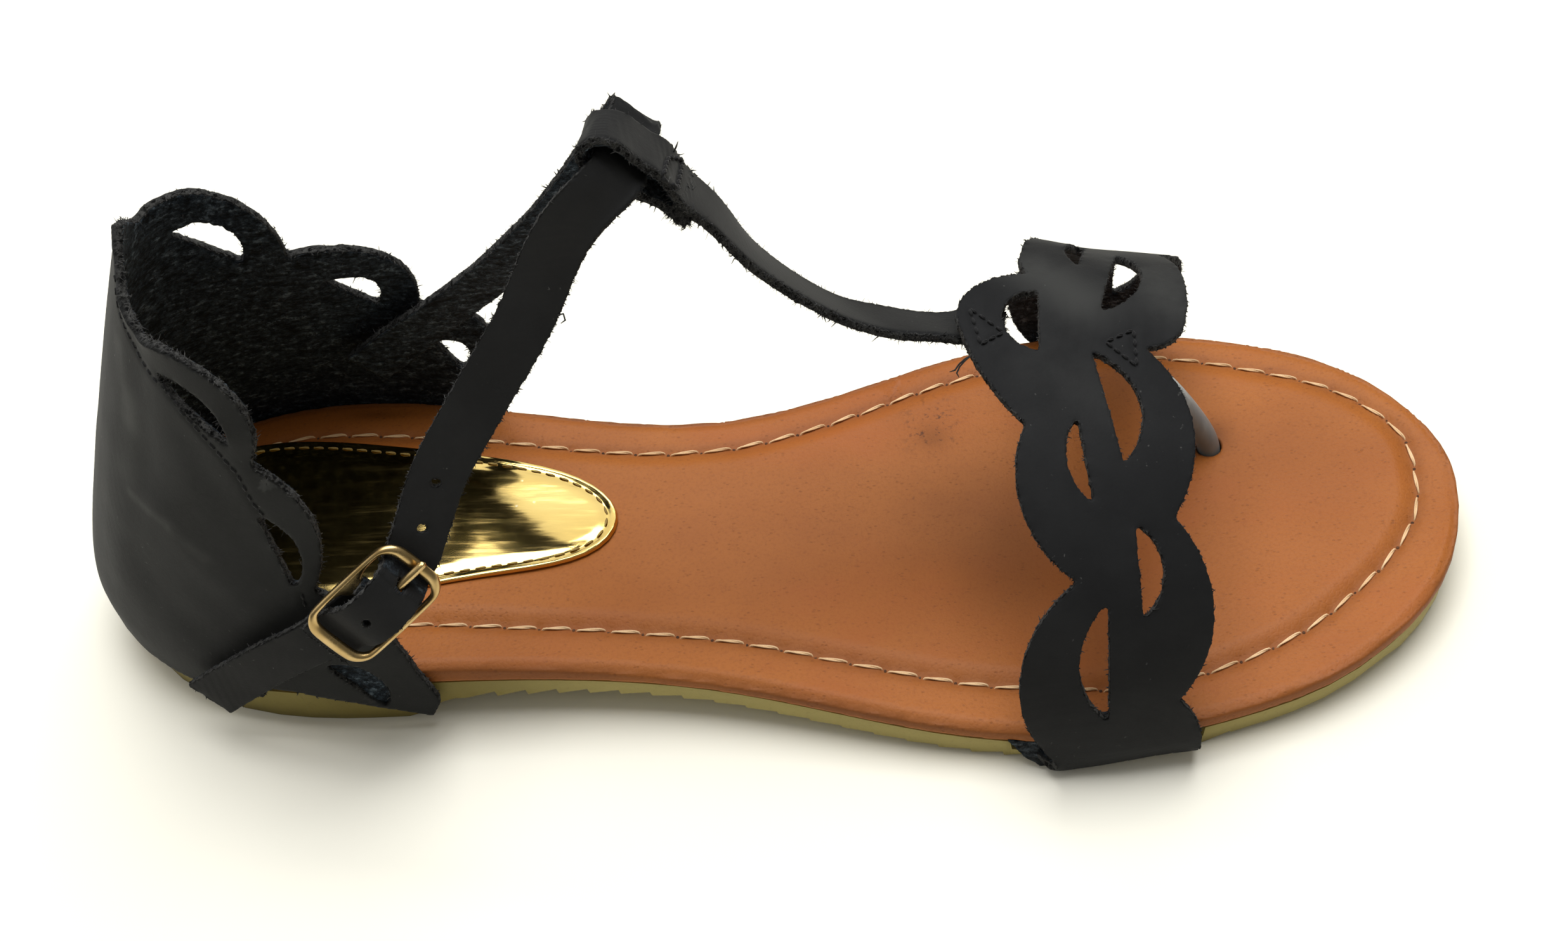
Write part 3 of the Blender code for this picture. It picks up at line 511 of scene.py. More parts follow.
def joined(name, parts):
    """One smooth mesh piece of many small parts."""
    points = []
    faces = []
    for part_points, part_faces in parts:
        faces += [[len(points) + i for i in face] for face in part_faces]
        points += part_points
    mesh = bpy.data.meshes.new(name)
    mesh.from_pydata(points, [], faces)
    mesh.update()
    piece = placed(name, mesh)
    take_up(piece)
    bpy.ops.object.shade_smooth()
    return piece


def stitch(spot, along, facing, length, thick, steps):
    """Two strands of one stitch, twisted together, with their ends drawn down into the holes."""
    along = (along - facing * along.dot(facing)).normalized()
    across = facing.cross(along)
    strands = []
    for strand in (0, math.pi):
        line = []
        for step in range(steps + 1):
            share = step / steps - 0.5
            turn = strand + STITCH_TWIST * share
            rise = thick * (STITCH_RISE - STITCH_DIVE * abs(2 * share) ** STITCH_SQUARENESS)
            line.append(spot + along * length * share + across * STRAND_SPREAD * thick * math.cos(turn)
                        + facing * (rise + STRAND_LIFT * thick * math.sin(turn)))
        strands.append(tube(line, [STRAND_RADIUS * thick] * len(line), STRAND_SIDES))
    return strands


def spaced(line, pitch, closed=False):
    """Places and directions along a line of points, a pitch apart."""
    line = np.array([tuple(p) for p in (line + line[:1] if closed else line)])
    length = np.concatenate([[0], np.cumsum(lengths(np.diff(line, axis=0)))])
    count = max(1, round(length[-1] / pitch))
    for i in range(count):
        at = (i + 0.5) * length[-1] / count
        back, front = (Vector([np.interp(place, length, axis) for axis in line.T])
                       for place in (at - pitch / 4, at + pitch / 4))
        yield (back + front) / 2, (front - back).normalized()


def rim_of(node):
    """The outline of a flat solid seen from above, as points round its middle."""
    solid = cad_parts[node]
    points = points_of(solid)[:, :2]
    middle = (points.min(0) + points.max(0)) / 2
    starts, ends = (points[[e.vertices[k] for e in solid.data.edges]] for k in (0, 1))
    share = np.linspace(0, 1, RIM_SAMPLES)[:, None, None]
    dense = (starts * (1 - share) + ends * share).reshape(-1, 2) - middle
    angle = np.arctan2(dense[:, 1], dense[:, 0]) % (2 * math.pi)
    reach = np.zeros(RIM_POINTS)
    np.maximum.at(reach, (angle / (2 * math.pi) * RIM_POINTS).astype(int) % RIM_POINTS, np.hypot(*dense.T))
    turns = (np.arange(RIM_POINTS) + 0.5) * 2 * math.pi / RIM_POINTS
    full = reach > 0
    reach = np.interp(turns, turns[full], reach[full], period=2 * math.pi)
    return middle + reach[:, None] * np.stack([np.cos(turns), np.sin(turns)], axis=1)


def inset_line(rim, inset):
    """The rim moved inwards; inset gives the distance at each point, and the line is evened out."""
    ahead = np.roll(rim, -INSET_SPAN, axis=0) - np.roll(rim, INSET_SPAN, axis=0)
    inward = unit(np.stack([-ahead[:, 1], ahead[:, 0]], axis=1))
    line = rim + inward * inset[:, None]
    for _ in range(INSET_ROUNDS):
        line = (np.roll(line, 1, axis=0) + 2 * line + np.roll(line, -1, axis=0)) / 4
    return line


def laid_on(tree, flat_line):
    """A flat line dropped onto the top of a piece."""
    found = [tree.ray_cast(Vector((x, y, RAY_TOP)), -UP) for x, y in flat_line]
    return [spot for spot, _, _, _ in found if spot is not None]


def under(tree, spot):
    """The place of a piece close under or over a spot, and the way the piece faces there."""
    return tree.ray_cast(spot + UP * RAY_LIFT, -UP)[:2]


def stretches(points, line):
    """For each stretch of a line: its run, and each point's way from its start and distance from it."""
    for start, end in zip(line[:-1], line[1:]):
        run = end - start
        off = points - start
        share = np.clip(off @ run / max(run @ run, LEAST_SQUARE), 0, 1)
        yield run, off, lengths(off - share[:, None] * run)


def away_from_line(points, line):
    """Distance of each point from a line of points."""
    nearest = np.full(len(points), 1.0)
    for _, _, gap in stretches(points, np.array([tuple(p) for p in line])):
        nearest = np.minimum(nearest, gap)
    return nearest


def inside_of_line(points, line):
    """Distance of each point from a closed line seen from above; it is positive on the line's left."""
    line = np.array([tuple(p)[:2] for p in line])
    nearest = np.full(len(points), 1.0)
    signed = nearest.copy()
    for run, off, gap in stretches(points[:, :2], np.vstack([line, line[:1]])):
        closer = gap < nearest
        nearest[closer] = gap[closer]
        left = run[0] * off[:, 1] - run[1] * off[:, 0]
        signed[closer] = (np.sign(left) * gap)[closer]
    return signed


class Value:
    """A socket of a material. Sums of values add Math nodes, and node() adds any other node.

    The scale of noise and of cells is their number in a metre.
    """

    def __init__(self, socket):
        self.socket = socket

    def node(self, kind, settings, sockets, output=0):
        tree = self.socket.id_data
        made = tree.nodes.new(kind)
        for name, setting in settings.items():
            setattr(made, name, setting)
        for name, given in sockets.items():
            if isinstance(given, Value):
                tree.links.new(given.socket, made.inputs[name])
            else:
                made.inputs[name].default_value = given
        return Value(made.outputs[output])

    def math(self, operation, first, second):
        return self.node("ShaderNodeMath", {"operation": operation}, {0: first, 1: second})

    def __add__(self, other):
        return self.math("ADD", self, other)

    def __sub__(self, other):
        return self.math("SUBTRACT", self, other)

    def __rsub__(self, other):
        return self.math("SUBTRACT", other, self)

    def __mul__(self, other):
        return self.math("MULTIPLY", self, other)

    __radd__ = __add__
    __rmul__ = __mul__

    def span(self, low, high):
        """0 up to low, 1 from high, and smooth between them."""
        return self.node("ShaderNodeMapRange", {"interpolation_type": "SMOOTHSTEP"},
                         {"Value": self, "From Min": low, "From Max": high})

    def between(self, colour, other):
        """The first colour where this value is 0, the other one where it is 1.

        A Mix node has its colours in sockets 6 and 7, and gives a colour from output 2.
        """
        return self.node("ShaderNodeMix", {"data_type": "RGBA"}, {0: self, 6: colour, 7: other}, output=2)

    def noise(self, scale, detail, rough=0.55):
        return self.node("ShaderNodeTexNoise", {}, {"Vector": self, "Scale": scale, "Detail": detail,
                                                    "Roughness": rough})

    def cells(self, scale, feature="F1"):
        return self.node("ShaderNodeTexVoronoi", {"feature": feature}, {"Vector": self, "Scale": scale})

    def bump(self, height, distance, strength):
        return self.node("ShaderNodeBump", {},
                         {"Height": height, "Distance": distance, "Strength": strength})


class Finish(Value):
    """A material in the making, with its shader's constants. As a value, it is the place on the piece."""

    def __init__(self, name, constants):
        self.material = bpy.data.materials.new(name)
        self.material.use_nodes = True
        nodes = self.material.node_tree.nodes
        self.shader = nodes["Principled BSDF"]
        for socket, value in constants.items():
            self.shader.inputs[socket].default_value = value
        super().__init__(nodes.new("ShaderNodeTexCoord").outputs["Object"])

    def kept(self, name):
        """A number that was stored for each point."""
        return self.node("ShaderNodeAttribute", {"attribute_name": name}, {}, output=2)

    def coordinate(self, axis):
        return self.node("ShaderNodeSeparateXYZ", {}, {0: self}, output=axis)

    def stretched(self, scale):
        return self.node("ShaderNodeMapping", {}, {"Vector": self, "Scale": scale})

    def feed(self, socket, value):
        self.material.node_tree.links.new(value.socket, self.shader.inputs[socket])

    def done(self, colour, rough, relief, height, strength):
        """The material with its colour, roughness and relief of a given height."""
        self.feed("Base Color", colour)
        self.feed("Roughness", rough)
        self.feed("Normal", self.bump(relief, height, strength))
        return self.material


def nubuck(name, grain_colour, dusty_colour):
    """Black nubuck: fine matt grain outside, fuzzy flesh inside and at cut edges, pale where rubbed and
    where a highlight is painted.
    """
    made = Finish(name, {"Specular IOR Level": 0.11, "Sheen Weight": 0.045, "Sheen Roughness": 0.4})
    flesh = made.kept("flesh")
    cut = made.kept("cut")
    rubs_and_highlight = made.kept("rubs_and_highlight")
    mottle = made.noise(60, 5, 0.6)
    grain = made.noise(2600, 2)
    dust = made.noise(900, 2).span(0.7, 0.78) * made.noise(70, 2).span(0.42, 0.7)
    fuzz = made.noise(1000, 5, 0.75)
    tufts = made.noise(480, 4, 0.65)
    nap = made.stretched((0.6, 0.6, 1.4)).noise(620, 4, 0.7)
    pits = made.cells(880).span(0.46, 0.28) * tufts.span(0.32, 0.46)
    scuff = made.noise(18, 3).span(0.5, 0.75) * made.noise(130, 4, 0.7)
    outside = mottle.span(0.3, 0.75).between(grain_colour, dusty_colour)
    outside = (0.16 * scuff).between(outside, (0.045, 0.045, 0.044, 1))
    # Pale rubs and painted highlights on the counter, and a painted highlight on the crown of the front
    # strap
    outside = (rubs_and_highlight * mottle.span(0.2, 0.6)).between(outside, (0.06, 0.061, 0.058, 1))
    outside = (0.5 * dust).between(outside, (0.13, 0.13, 0.125, 1))
    inside = fuzz.span(0.38, 0.66).between((0.006, 0.009, 0.013, 1), (0.037, 0.051, 0.066, 1))
    inside = (nap.span(0.53, 0.64) * fuzz.span(0.42, 0.58)).between(inside, (0.112, 0.144, 0.172, 1))
    inside = (nap.span(0.48, 0.38) * 0.85).between(inside, (0.0018, 0.0026, 0.0036, 1))
    edge = fuzz.span(0.34, 0.6).between((0.006, 0.006, 0.006, 1), (0.058, 0.058, 0.056, 1))
    edge = pits.between(edge, (0.0015, 0.0015, 0.0016, 1))
    colour = cut.between(flesh.between(outside, inside), edge)
    rough_side = flesh.math("MAXIMUM", flesh, cut)
    rough = 0.62 + 0.12 * grain + 0.24 * rough_side
    relief = grain * 0.1 + mottle * 0.25 + rough_side * (fuzz * 1.9 + tufts * 1.2 + nap * 2.0)
    return made.done(colour, rough, relief, height=0.25 * MM, strength=0.85)


def leatherette():
    """Tan coated leatherette: clouded colour, pores, fine grain, grime at the toe post, darkening by the
    seam, painted shade on the side wall, along the rim and beside the front strap, and a painted highlight
    on the rounded edge.
    """
    made = Finish("tan_leatherette", {"Specular IOR Level": 0.17, "Coat Roughness": 0.38})
    clouds = made.stretched((0.7, 1.0, 1.0)).noise(24, 4, 0.6)
    blotch = made.noise(9, 3)
    reddish = made.stretched((0.6, 1.0, 1.0)).noise(38, 4, 0.65)
    grain = made.cells(1150, "DISTANCE_TO_EDGE")
    fine = made.noise(1700, 3, 0.65)
    pores = made.stretched((1.0, 1.7, 1.0)).cells(760).span(0.3, 0.12)
    pores = pores * made.noise(300, 2).span(0.42, 0.6)
    specks = made.stretched((1.0, 0.6, 1.0)).cells(210).span(0.09, 0.05)
    specks = specks * made.noise(60, 2).span(0.65, 0.72)
    grime_and_shade = made.kept("grime_and_shade")
    rim_highlight = made.kept("rim_highlight")
    stain = made.kept("stain") * made.noise(620, 3, 0.7).span(0.54, 0.68)
    colour = clouds.span(0.3, 0.72).between((0.412, 0.134, 0.025, 1), (0.34, 0.101, 0.017, 1))
    colour = (blotch.span(0.45, 0.75) * 0.7).between(colour, (0.45, 0.15, 0.03, 1))
    colour = (fine.span(0.45, 0.75) * 0.35).between(colour, (0.23, 0.066, 0.016, 1))
    colour = (reddish.span(0.5, 0.72) * 0.5).between(colour, (0.38, 0.105, 0.022, 1))
    # Painted highlight on the rounded edge of the footbed
    colour = (rim_highlight * 0.3).between(colour, (0.43, 0.165, 0.065, 1))
    # Grime at the toe post, darkening by the seam, and painted shade on the side wall, along the rim and
    # beside the front strap
    colour = (grime_and_shade * clouds.span(0.1, 0.6)).between(colour, (0.12, 0.042, 0.016, 1))
    colour = (pores * 0.35).between(colour, (0.15, 0.046, 0.014, 1))
    colour = (specks * 0.45).between(colour, (0.06, 0.02, 0.009, 1))
    colour = stain.between(colour, (0.03, 0.012, 0.008, 1))
    rough = 0.42 + 0.1 * fine + 0.22 * grime_and_shade + 0.06 * blotch
    relief = grain.span(0.0, 0.25) * 0.35 + fine * 0.35 + clouds * 0.8 - pores * 0.7
    made.feed("Coat Weight", 0.08 - 0.07 * grime_and_shade)
    return made.done(colour, rough, relief, height=0.1 * MM, strength=0.6)


def foil():
    """Gold foil with a mirror gloss: drawn out waves, fine rubs and a few dust specks."""
    made = Finish("gold_foil", {"Metallic": 1.0})
    ripples = made.stretched((0.35, 1.0, 1.0)).noise(90, 3, 0.5)
    rubs = made.stretched((0.08, 1.0, 1.0)).noise(900, 3, 0.6)
    specks = made.cells(260).span(0.1, 0.05) * made.noise(60, 2).span(0.5, 0.62)
    colour = ripples.span(0.3, 0.7).between((0.8, 0.6, 0.22, 1), (0.7, 0.5, 0.16, 1))
    colour = (0.5 * specks).between(colour, (0.95, 0.86, 0.6, 1))
    rough = 0.09 + 0.1 * rubs.span(0.45, 0.8) + 0.3 * specks
    return made.done(colour, rough, ripples + rubs * 0.05, height=0.35 * MM, strength=0.5)


def rubber():
    """Olive moulded rubber: chalky bloom, paler from the waist forward and darker at the heel as painted
    shade, darker grime low down.
    """
    made = Finish("olive_rubber", {"Specular IOR Level": 0.35})
    bloom = made.noise(45, 4, 0.6)
    fine = made.noise(1500, 3, 0.6)
    low = made.coordinate("Z").span(4.0 * MM, 0.2 * MM)
    forward = made.coordinate("X").span(-55 * MM, -25 * MM)
    colour = bloom.span(0.3, 0.72).between((0.205, 0.16, 0.036, 1), (0.262, 0.212, 0.054, 1))
    # Painted shade: the rubber is paler from the waist forward and darker at the heel
    colour = (forward * 0.75).between(colour, (0.4, 0.33, 0.11, 1))
    colour = (low * bloom.span(0.35, 0.7) * 0.4).between(colour, (0.08, 0.065, 0.026, 1))
    colour = (fine.span(0.55, 0.8) * 0.25).between(colour, (0.11, 0.09, 0.035, 1))
    rough = 0.52 + 0.14 * bloom + 0.08 * fine
    return made.done(colour, rough, fine * 0.6 + bloom * 0.5, height=0.1 * MM, strength=0.6)


def plated(name):
    """Pale gold plating with fine rubs and slightly dulled patches."""
    made = Finish(name, {"Metallic": 1.0})
    patches = made.noise(260, 3)
    rubs = made.stretched((1.0, 0.15, 1.0)).noise(2600, 3, 0.6)
    colour = patches.span(0.35, 0.7).between((0.57, 0.41, 0.19, 1), (0.47, 0.32, 0.13, 1))
    rough = 0.19 + 0.12 * patches + 0.08 * rubs
    return made.done(colour, rough, patches * 0.8 + rubs * 0.2, height=0.08 * MM, strength=0.4)


def grey_tube():
    """Grey soft plastic tube, darker towards the footbed."""
    made = Finish("grey_tube", {"Specular IOR Level": 0.5, "Coat Weight": 0.25, "Coat Roughness": 0.25})
    streaks = made.stretched((1.0, 1.0, 0.25)).noise(300, 4, 0.6)
    low = made.coordinate("Z").span(24 * MM, 11 * MM)
    colour = streaks.span(0.3, 0.7).between((0.2, 0.27, 0.3, 1), (0.4, 0.51, 0.55, 1))
    colour = (low * streaks.span(0.2, 0.6) * 0.5).between(colour, (0.07, 0.07, 0.06, 1))
    return made.done(colour, 0.3 + 0.15 * streaks, streaks, height=0.08 * MM, strength=0.5)


def thread(name, pale, deep, rough):
    """Sewing thread: colour that varies from stitch to stitch, and fine fibres."""
    made = Finish(name, {"Specular IOR Level": 0.3, "Sheen Weight": 0.1})
    stitches = made.noise(120, 2)
    fibres = made.noise(5200, 2)
    colour = (0.65 * stitches + 0.35 * fibres).span(0.35, 0.65).between(deep, pale)
    return made.done(colour, rough + 0.1 * fibres, fibres, height=0.05 * MM, strength=0.5)


def floor_white():
    """Warm white floor with hardly any change of tone."""
    made = Finish("floor_white", {"Specular IOR Level": 0.15, "Emission Color": (1, 1, 0.99, 1),
                                  "Emission Strength": FLOOR_GLOW})
    tone = made.noise(3, 2)
    colour = tone.span(0.3, 0.7).between((0.95, 0.93, 0.82, 1), (0.96, 0.94, 0.84, 1))
    made.feed("Base Color", colour)
    made.feed("Roughness", 0.75 + 0.1 * tone)
    return made.material


def dress(piece, material, slot, *nodes):
    """Gives a finished piece its material, its place on the body and the solids that it stands for."""
    piece.data.materials.clear()
    piece.data.materials.append(material)
    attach(piece, "root")
    if nodes:
        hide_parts(*nodes)


def counter_outward(points):
    """Away from the upright middle line of the heel."""
    flat = points - np.array(HEEL_MIDDLE)
    flat[:, 2] = 0
    flat[:, 0] = np.minimum(flat[:, 0], 0)
    return unit(flat)


def strap_outward(points):
    """Away from the foot that lies under the front strap."""
    flat = points - FOREFOOT_MIDDLE
    flat[:, 0] = 0
    return unit(flat)


def t_strap_outward(points):
    """Forwards and up along the strap, and round the middle of its loop."""
    straight = np.tile(T_STRAP_FACING, (len(points), 1))
    round_loop = points - LOOP_MIDDLE
    round_loop[:, 1] = 0
    return np.where((points[:, 0] < LOOP_START)[:, None], unit(round_loop), straight)


def ankle_outward(points):
    """To the near or to the far side of the foot, and up where the strap lies over the instep."""
    side = np.clip(points[:, 1] / INSTEP_HALF, -1, 1)
    back = np.full(len(points), ANKLE_BACK)
    away = np.stack([back, side, ANKLE_UP + INSTEP_UP * (1 - np.abs(side))], axis=1)
    return unit(away)


# Leather pieces: node, mesh spacing, smoothing rounds, rounds that even its walls, outward side,
# number of fibres, length of the longest
LEATHERS = (
    ("heel_counter", 0.6 * MM, 4, 90, counter_outward, 5200, 0.8 * MM),
    ("front_strap", 0.48 * MM, 4, 90, strap_outward, 3600, 0.6 * MM),
    ("t_strap", 0.42 * MM, 4, 8, t_strap_outward, 6000, 0.95 * MM),
    ("ankle_strap", 0.4 * MM, 3, 90, ankle_outward, 2600, 0.65 * MM),
    ("buckle_tab", 0.4 * MM, 3, 90, counter_outward, 500, 0.5 * MM))


def wall_depth(piece):
    """How far the far side of the wall lies behind each point."""
    tree = tree_of(piece)
    depth = []
    for point, normal in zip(points_of(piece), normals_of(piece)):
        inward = -Vector(normal)
        _, _, _, distance = tree.ray_cast(Vector(point) + inward * WALL_START, inward, WALL_REACH)
        depth.append(WALL_REACH if distance is None else distance)
    return np.array(depth)


def evened(piece, away, side, free, rounds):
    """The points of a wall with the facets of its solid evened out; points that aren't free stay."""
    points = points_of(piece)
    pairs = np.zeros(2 * len(piece.data.edges), np.int32)
    piece.data.edges.foreach_get("vertices", pairs)
    first, second = pairs.reshape(-1, 2).T
    level = (side[first] == side[second]) & (side[first] != 0)
    here = np.concatenate([first[level], second[level]])
    there = np.concatenate([second[level], first[level]])
    count = np.maximum(np.bincount(here, minlength=len(points)), 1)
    for _ in range(rounds):
        rise = ((points[there] - points[here]) * away[here]).sum(1)
        step = EVENING_STEP * free * np.bincount(here, weights=rise, minlength=len(points)) / count
        points = points + away * step[:, None]
    return points


def leather_piece(node, spacing, rounds, evening, outward):
    """A leather piece with wavy walls and ragged cut edges, and its sides noted for the finish."""
    piece = even_copy(node, node + "_leather", spacing, rounds)
    points = points_of(piece)
    normals = normals_of(piece)
    away = outward(points)
    facing = (normals * away).sum(1)
    cut = ease(wall_depth(piece), *CUT_DEPTH) * (1 - ease(np.abs(facing), *CUT_FACING))
    flesh = ease(facing, *FLESH_FACING) * (1 - cut)
    rise = waves(points, LEATHER_WAVES)
    ragged = np.maximum(cut, RAGGED_FLESH * flesh) * waves(points, RAGGED_EDGE)
    side = np.sign(facing) * (np.abs(facing) > SIDE_FACING)
    points = evened(piece, away, side, cut < CUT_LEAST, evening)
    set_points(piece, points + away * rise[:, None] + normals * ragged[:, None])
    keep_sides(piece, cut, flesh)
    return piece


def roughen(piece, layers):
    """Moves the points of a piece in and out along its normals."""
    points = points_of(piece)
    set_points(piece, points + normals_of(piece) * waves(points, layers)[:, None])


def pale_rubs_and_highlights(piece, rubs):
    """Pale streaks along lines on a leather piece: rubs, and painted highlights."""
    tree = tree_of(piece)
    points = points_of(piece)
    paled = np.zeros(len(points))
    for start, end, width, strength in rubs:
        line = [seen(tree, start)[0], seen(tree, end)[0]]
        paled += strength * fade(away_from_line(points, line), width)
    piece.data.attributes["rubs_and_highlight"].data.foreach_set("value", np.clip(paled, 0, 1).astype(np.float32))


def cutout_backing(counter):
    """Suede that closes the lowest cut-out of the counter from behind."""
    tree = tree_of(counter)
    outline = []
    for pixel in BACKED_CUTOUT:
        spot, facing = seen(tree, pixel)
        outline.append(spot - facing * BACKING_DEPTH)
    middle = sum(outline, Vector()) / len(outline)
    shares = [ring / BACKING_RINGS for ring in range(1, BACKING_RINGS + 1)]
    points = [middle.lerp(corner, share) for share in shares for corner in outline]
    piece = joined("counter_backing", [(points, ring_faces(BACKING_RINGS, len(outline)))])
    use_modifier(piece, "SUBSURF", subdivision_type="SIMPLE", levels=BACKING_LEVELS)
    use_modifier(piece, "SOLIDIFY", thickness=BACKING_WALL, offset=0)
    with editing():
        bpy.ops.mesh.normals_make_consistent(inside=False)
    roughen(piece, BACKING_NAP)
    keep_sides(piece, 0.0, 1.0)
    return piece


def sag_fold(piece):
    """Lets the outer fold of the front strap sag towards the floor at its back edge."""
    points = points_of(piece)
    weight = ease(points[:, 1], *FOLD_ACROSS) * ease(points[:, 2], *FOLD_DOWN)
    weight *= ease(points[:, 0], *FOLD_ALONG)
    lowest = np.minimum(points[:, 2], FOLD_LOWEST)
    points[:, 2] = np.maximum(points[:, 2] - FOLD_SAG * weight, lowest)
    points[:, 1] -= FOLD_BULGE * weight
    set_points(piece, points)


def tucked_flap():
    """The back edge of the front strap where it turns in beside the sole."""
    outline = []
    for pixel, across in FLAP_CORNERS:
        sight = line_of_sight(pixel)
        outline.append(CAMERA_PLACE + sight * (across - CAMERA_PLACE.y) / sight.y)
    piece = joined("front_strap_flap", [(outline, [list(range(len(outline)))])])
    use_modifier(piece, "SOLIDIFY", thickness=FLAP_WALL, offset=0)
    piece.data.remesh_voxel_size = FLAP_SPACING
    bpy.ops.object.voxel_remesh()
    bpy.ops.object.shade_smooth()
    roughen(piece, FLAP_NAP)
    keep_sides(piece, FLAP_CUT, 1.0)
    return piece


def fold_leather(piece, outward, folds):
    """Soft dents and ridges along lines on a leather piece."""
    tree = tree_of(piece)
    points = points_of(piece)
    away = outward(points)
    rise = np.zeros(len(points))
    for start, end, width, height in folds:
        line = [seen(tree, start)[0], seen(tree, end)[0]]
        rise -= dent(away_from_line(points, line), height, width)
    set_points(piece, points + away * rise[:, None])


def black_seam(piece, outward, seams, thick):
    """Black stitches along lines of pixels, in a shallow groove pressed into the leather."""
    tree = tree_of(piece)
    points = points_of(piece)
    away = outward(points)
    sink = np.zeros(len(points))
    stitches = []
    for seam in seams:
        for start, end in zip(seam[:-1], seam[1:]):
            line = [seen(tree, start)[0], seen(tree, end)[0]]
            sink = np.minimum(sink, dent(away_from_line(points, line), *BLACK_GROOVE))
            for spot, along in spaced(line, BLACK_PITCH):
                found, facing, _, _ = tree.find_nearest(spot)
                sunk = found - facing * BLACK_SUNK
                stitches += stitch(sunk, along, facing, BLACK_STITCH, thick, BLACK_POINTS)
    set_points(piece, points + away * sink[:, None])
    return stitches


def lint(piece, count, longest, draw):
    """Short bent fibres that stand out of the cut edges and the flesh side."""
    points = points_of(piece)
    normals = normals_of(piece)
    values = {}
    for name in ("cut", "flesh"):
        values[name] = np.zeros(len(points), np.float32)
        piece.data.attributes[name].data.foreach_get("value", values[name])
    weight = (values["cut"] + FIBRES_ON_FLESH * values["flesh"]) * (points[:, 2] > FIBRE_LOWEST)
    chosen = draw.choice(len(points), count, p=weight / weight.sum())
    fibres = []
    for i in chosen:
        lean = draw.normal(size=3) * FIBRE_LEAN
        way = Vector(normals[i] + lean).normalized()
        turn = Vector(draw.normal(size=3)) * FIBRE_BEND
        length = longest * draw.uniform(FIBRE_SHORTEST, 1.0) ** FIBRE_RARENESS
        root = Vector(points[i]) - way * FIBRE_ROOT
        line = [root, root + way * length / 2, root + (way + turn) * length]
        thick = draw.choice(FIBRE_SIZES) * MM
        fibres.append(tube(line, [share * thick for share in FIBRE_TAPER], FIBRE_SIDES))
    return fibres


def loose_end(tree, pixel, steps):
    """A thread end that hangs off a piece."""
    right, above, _ = camera_lines()
    start, _ = seen(tree, pixel)
    line = [start] + [start + (right * across + above * rise) * MM for across, rise in steps]
    return tube(line, [LOOSE_RADIUS] * len(steps) + [LOOSE_TIP], STRAND_SIDES)


def make_uppers(black_thread, fuzz):
    """The leather pieces with their seams and fibres, and what is sewn or tucked behind them."""
    draw = np.random.default_rng(SEED)
    stitches = []
    for node, spacing, rounds, evening, outward, fibre_count, longest in LEATHERS:
        piece = leather_piece(node, spacing, rounds, evening, outward)
        finish = nubuck(node + "_nubuck", *LEATHER_TONES[node])
        if node == "heel_counter":
            dress(cutout_backing(piece), finish, node)
            fold_leather(piece, outward, COUNTER_FOLDS)
        if node == "front_strap":
            dress(tucked_flap(), finish, node)
            sag_fold(piece)
        if node in RUBS_AND_HIGHLIGHTS:
            pale_rubs_and_highlights(piece, RUBS_AND_HIGHLIGHTS[node])
        if node in BLACK_SEAMS:
            stitches += black_seam(piece, outward, BLACK_SEAMS[node], BLACK_THREADS[node])
        fibres = lint(piece, fibre_count, longest, draw)
        for owner, pixel, steps in LOOSE_ENDS:
            if owner == node:
                fibres.append(loose_end(tree_of(piece), pixel, steps))
        dress(joined(node + "_fibres", fibres), fuzz, node)
        dress(piece, finish, node, node)
    dress(joined("black_stitches", stitches), black_thread, "front_strap")


def slope_edge(piece, rim):
    """Lowers the rim of the footbed into a slope, more on the outer side; its underside stays."""
    tree = tree_of(piece)
    middle = (rim.min(0) + rim.max(0)) / 2
    turns = np.arctan2(*(rim - middle).T[::-1])
    inner = inset_line(rim, np.full(len(rim), EDGE_RUN + EDGE_LEVEL))
    tops = [spot.z for spot in laid_on(tree, inner)]
    feet = [tree.ray_cast(Vector((x, y, RAY_BOTTOM)), UP)[0].z for x, y in inner]
    points = points_of(piece)
    gap = inside_of_line(points, rim)
    turn = np.arctan2(*(points[:, :2] - middle).T[::-1])
    top = np.interp(turn, turns, tops, period=2 * math.pi)
    foot = np.interp(turn, turns, feet, period=2 * math.pi)
    outer = EDGE_INNER_SHARE + (1 - EDGE_INNER_SHARE) * ease(points[:, 1], *EDGE_CHANGE)
    drop = EDGE_DROP * outer * (1 - np.clip(gap / EDGE_RUN, 0, 1))
    points[:, 2] = foot + (points[:, 2] - foot) * (1 - drop / (top - foot))
    set_points(piece, points)


def seam_line(tree, rim):
    """The line of the seam on the top of the footbed."""
    low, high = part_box("footbed")
    share = (rim[:, 0] - low.x) / (high.x - low.x)
    station, inner, outer = np.array(SEAM_INSETS).T
    inset = np.where(rim[:, 1] > 0, np.interp(share, station, inner), np.interp(share, station, outer))
    return laid_on(tree, inset_line(rim, inset * MM))


def seam_sink(points, inside, spots):
    """How far the seam draws each point of the footbed down; inside is its distance within the seam."""
    sink = SEAM_STEP * (ease(inside, *SEAM_STEP_RUN) - 1) + dent(np.abs(inside), *SEAM_GROOVE)
    for spot, along in spots:
        hole = np.array(spot + along * SEAM_PITCH / 2)
        near = np.abs(points[:, 0] - hole[0]) < SEAM_HOLE_REACH
        sink[near] += dent(lengths(points[near] - hole), *SEAM_HOLE)
    return sink


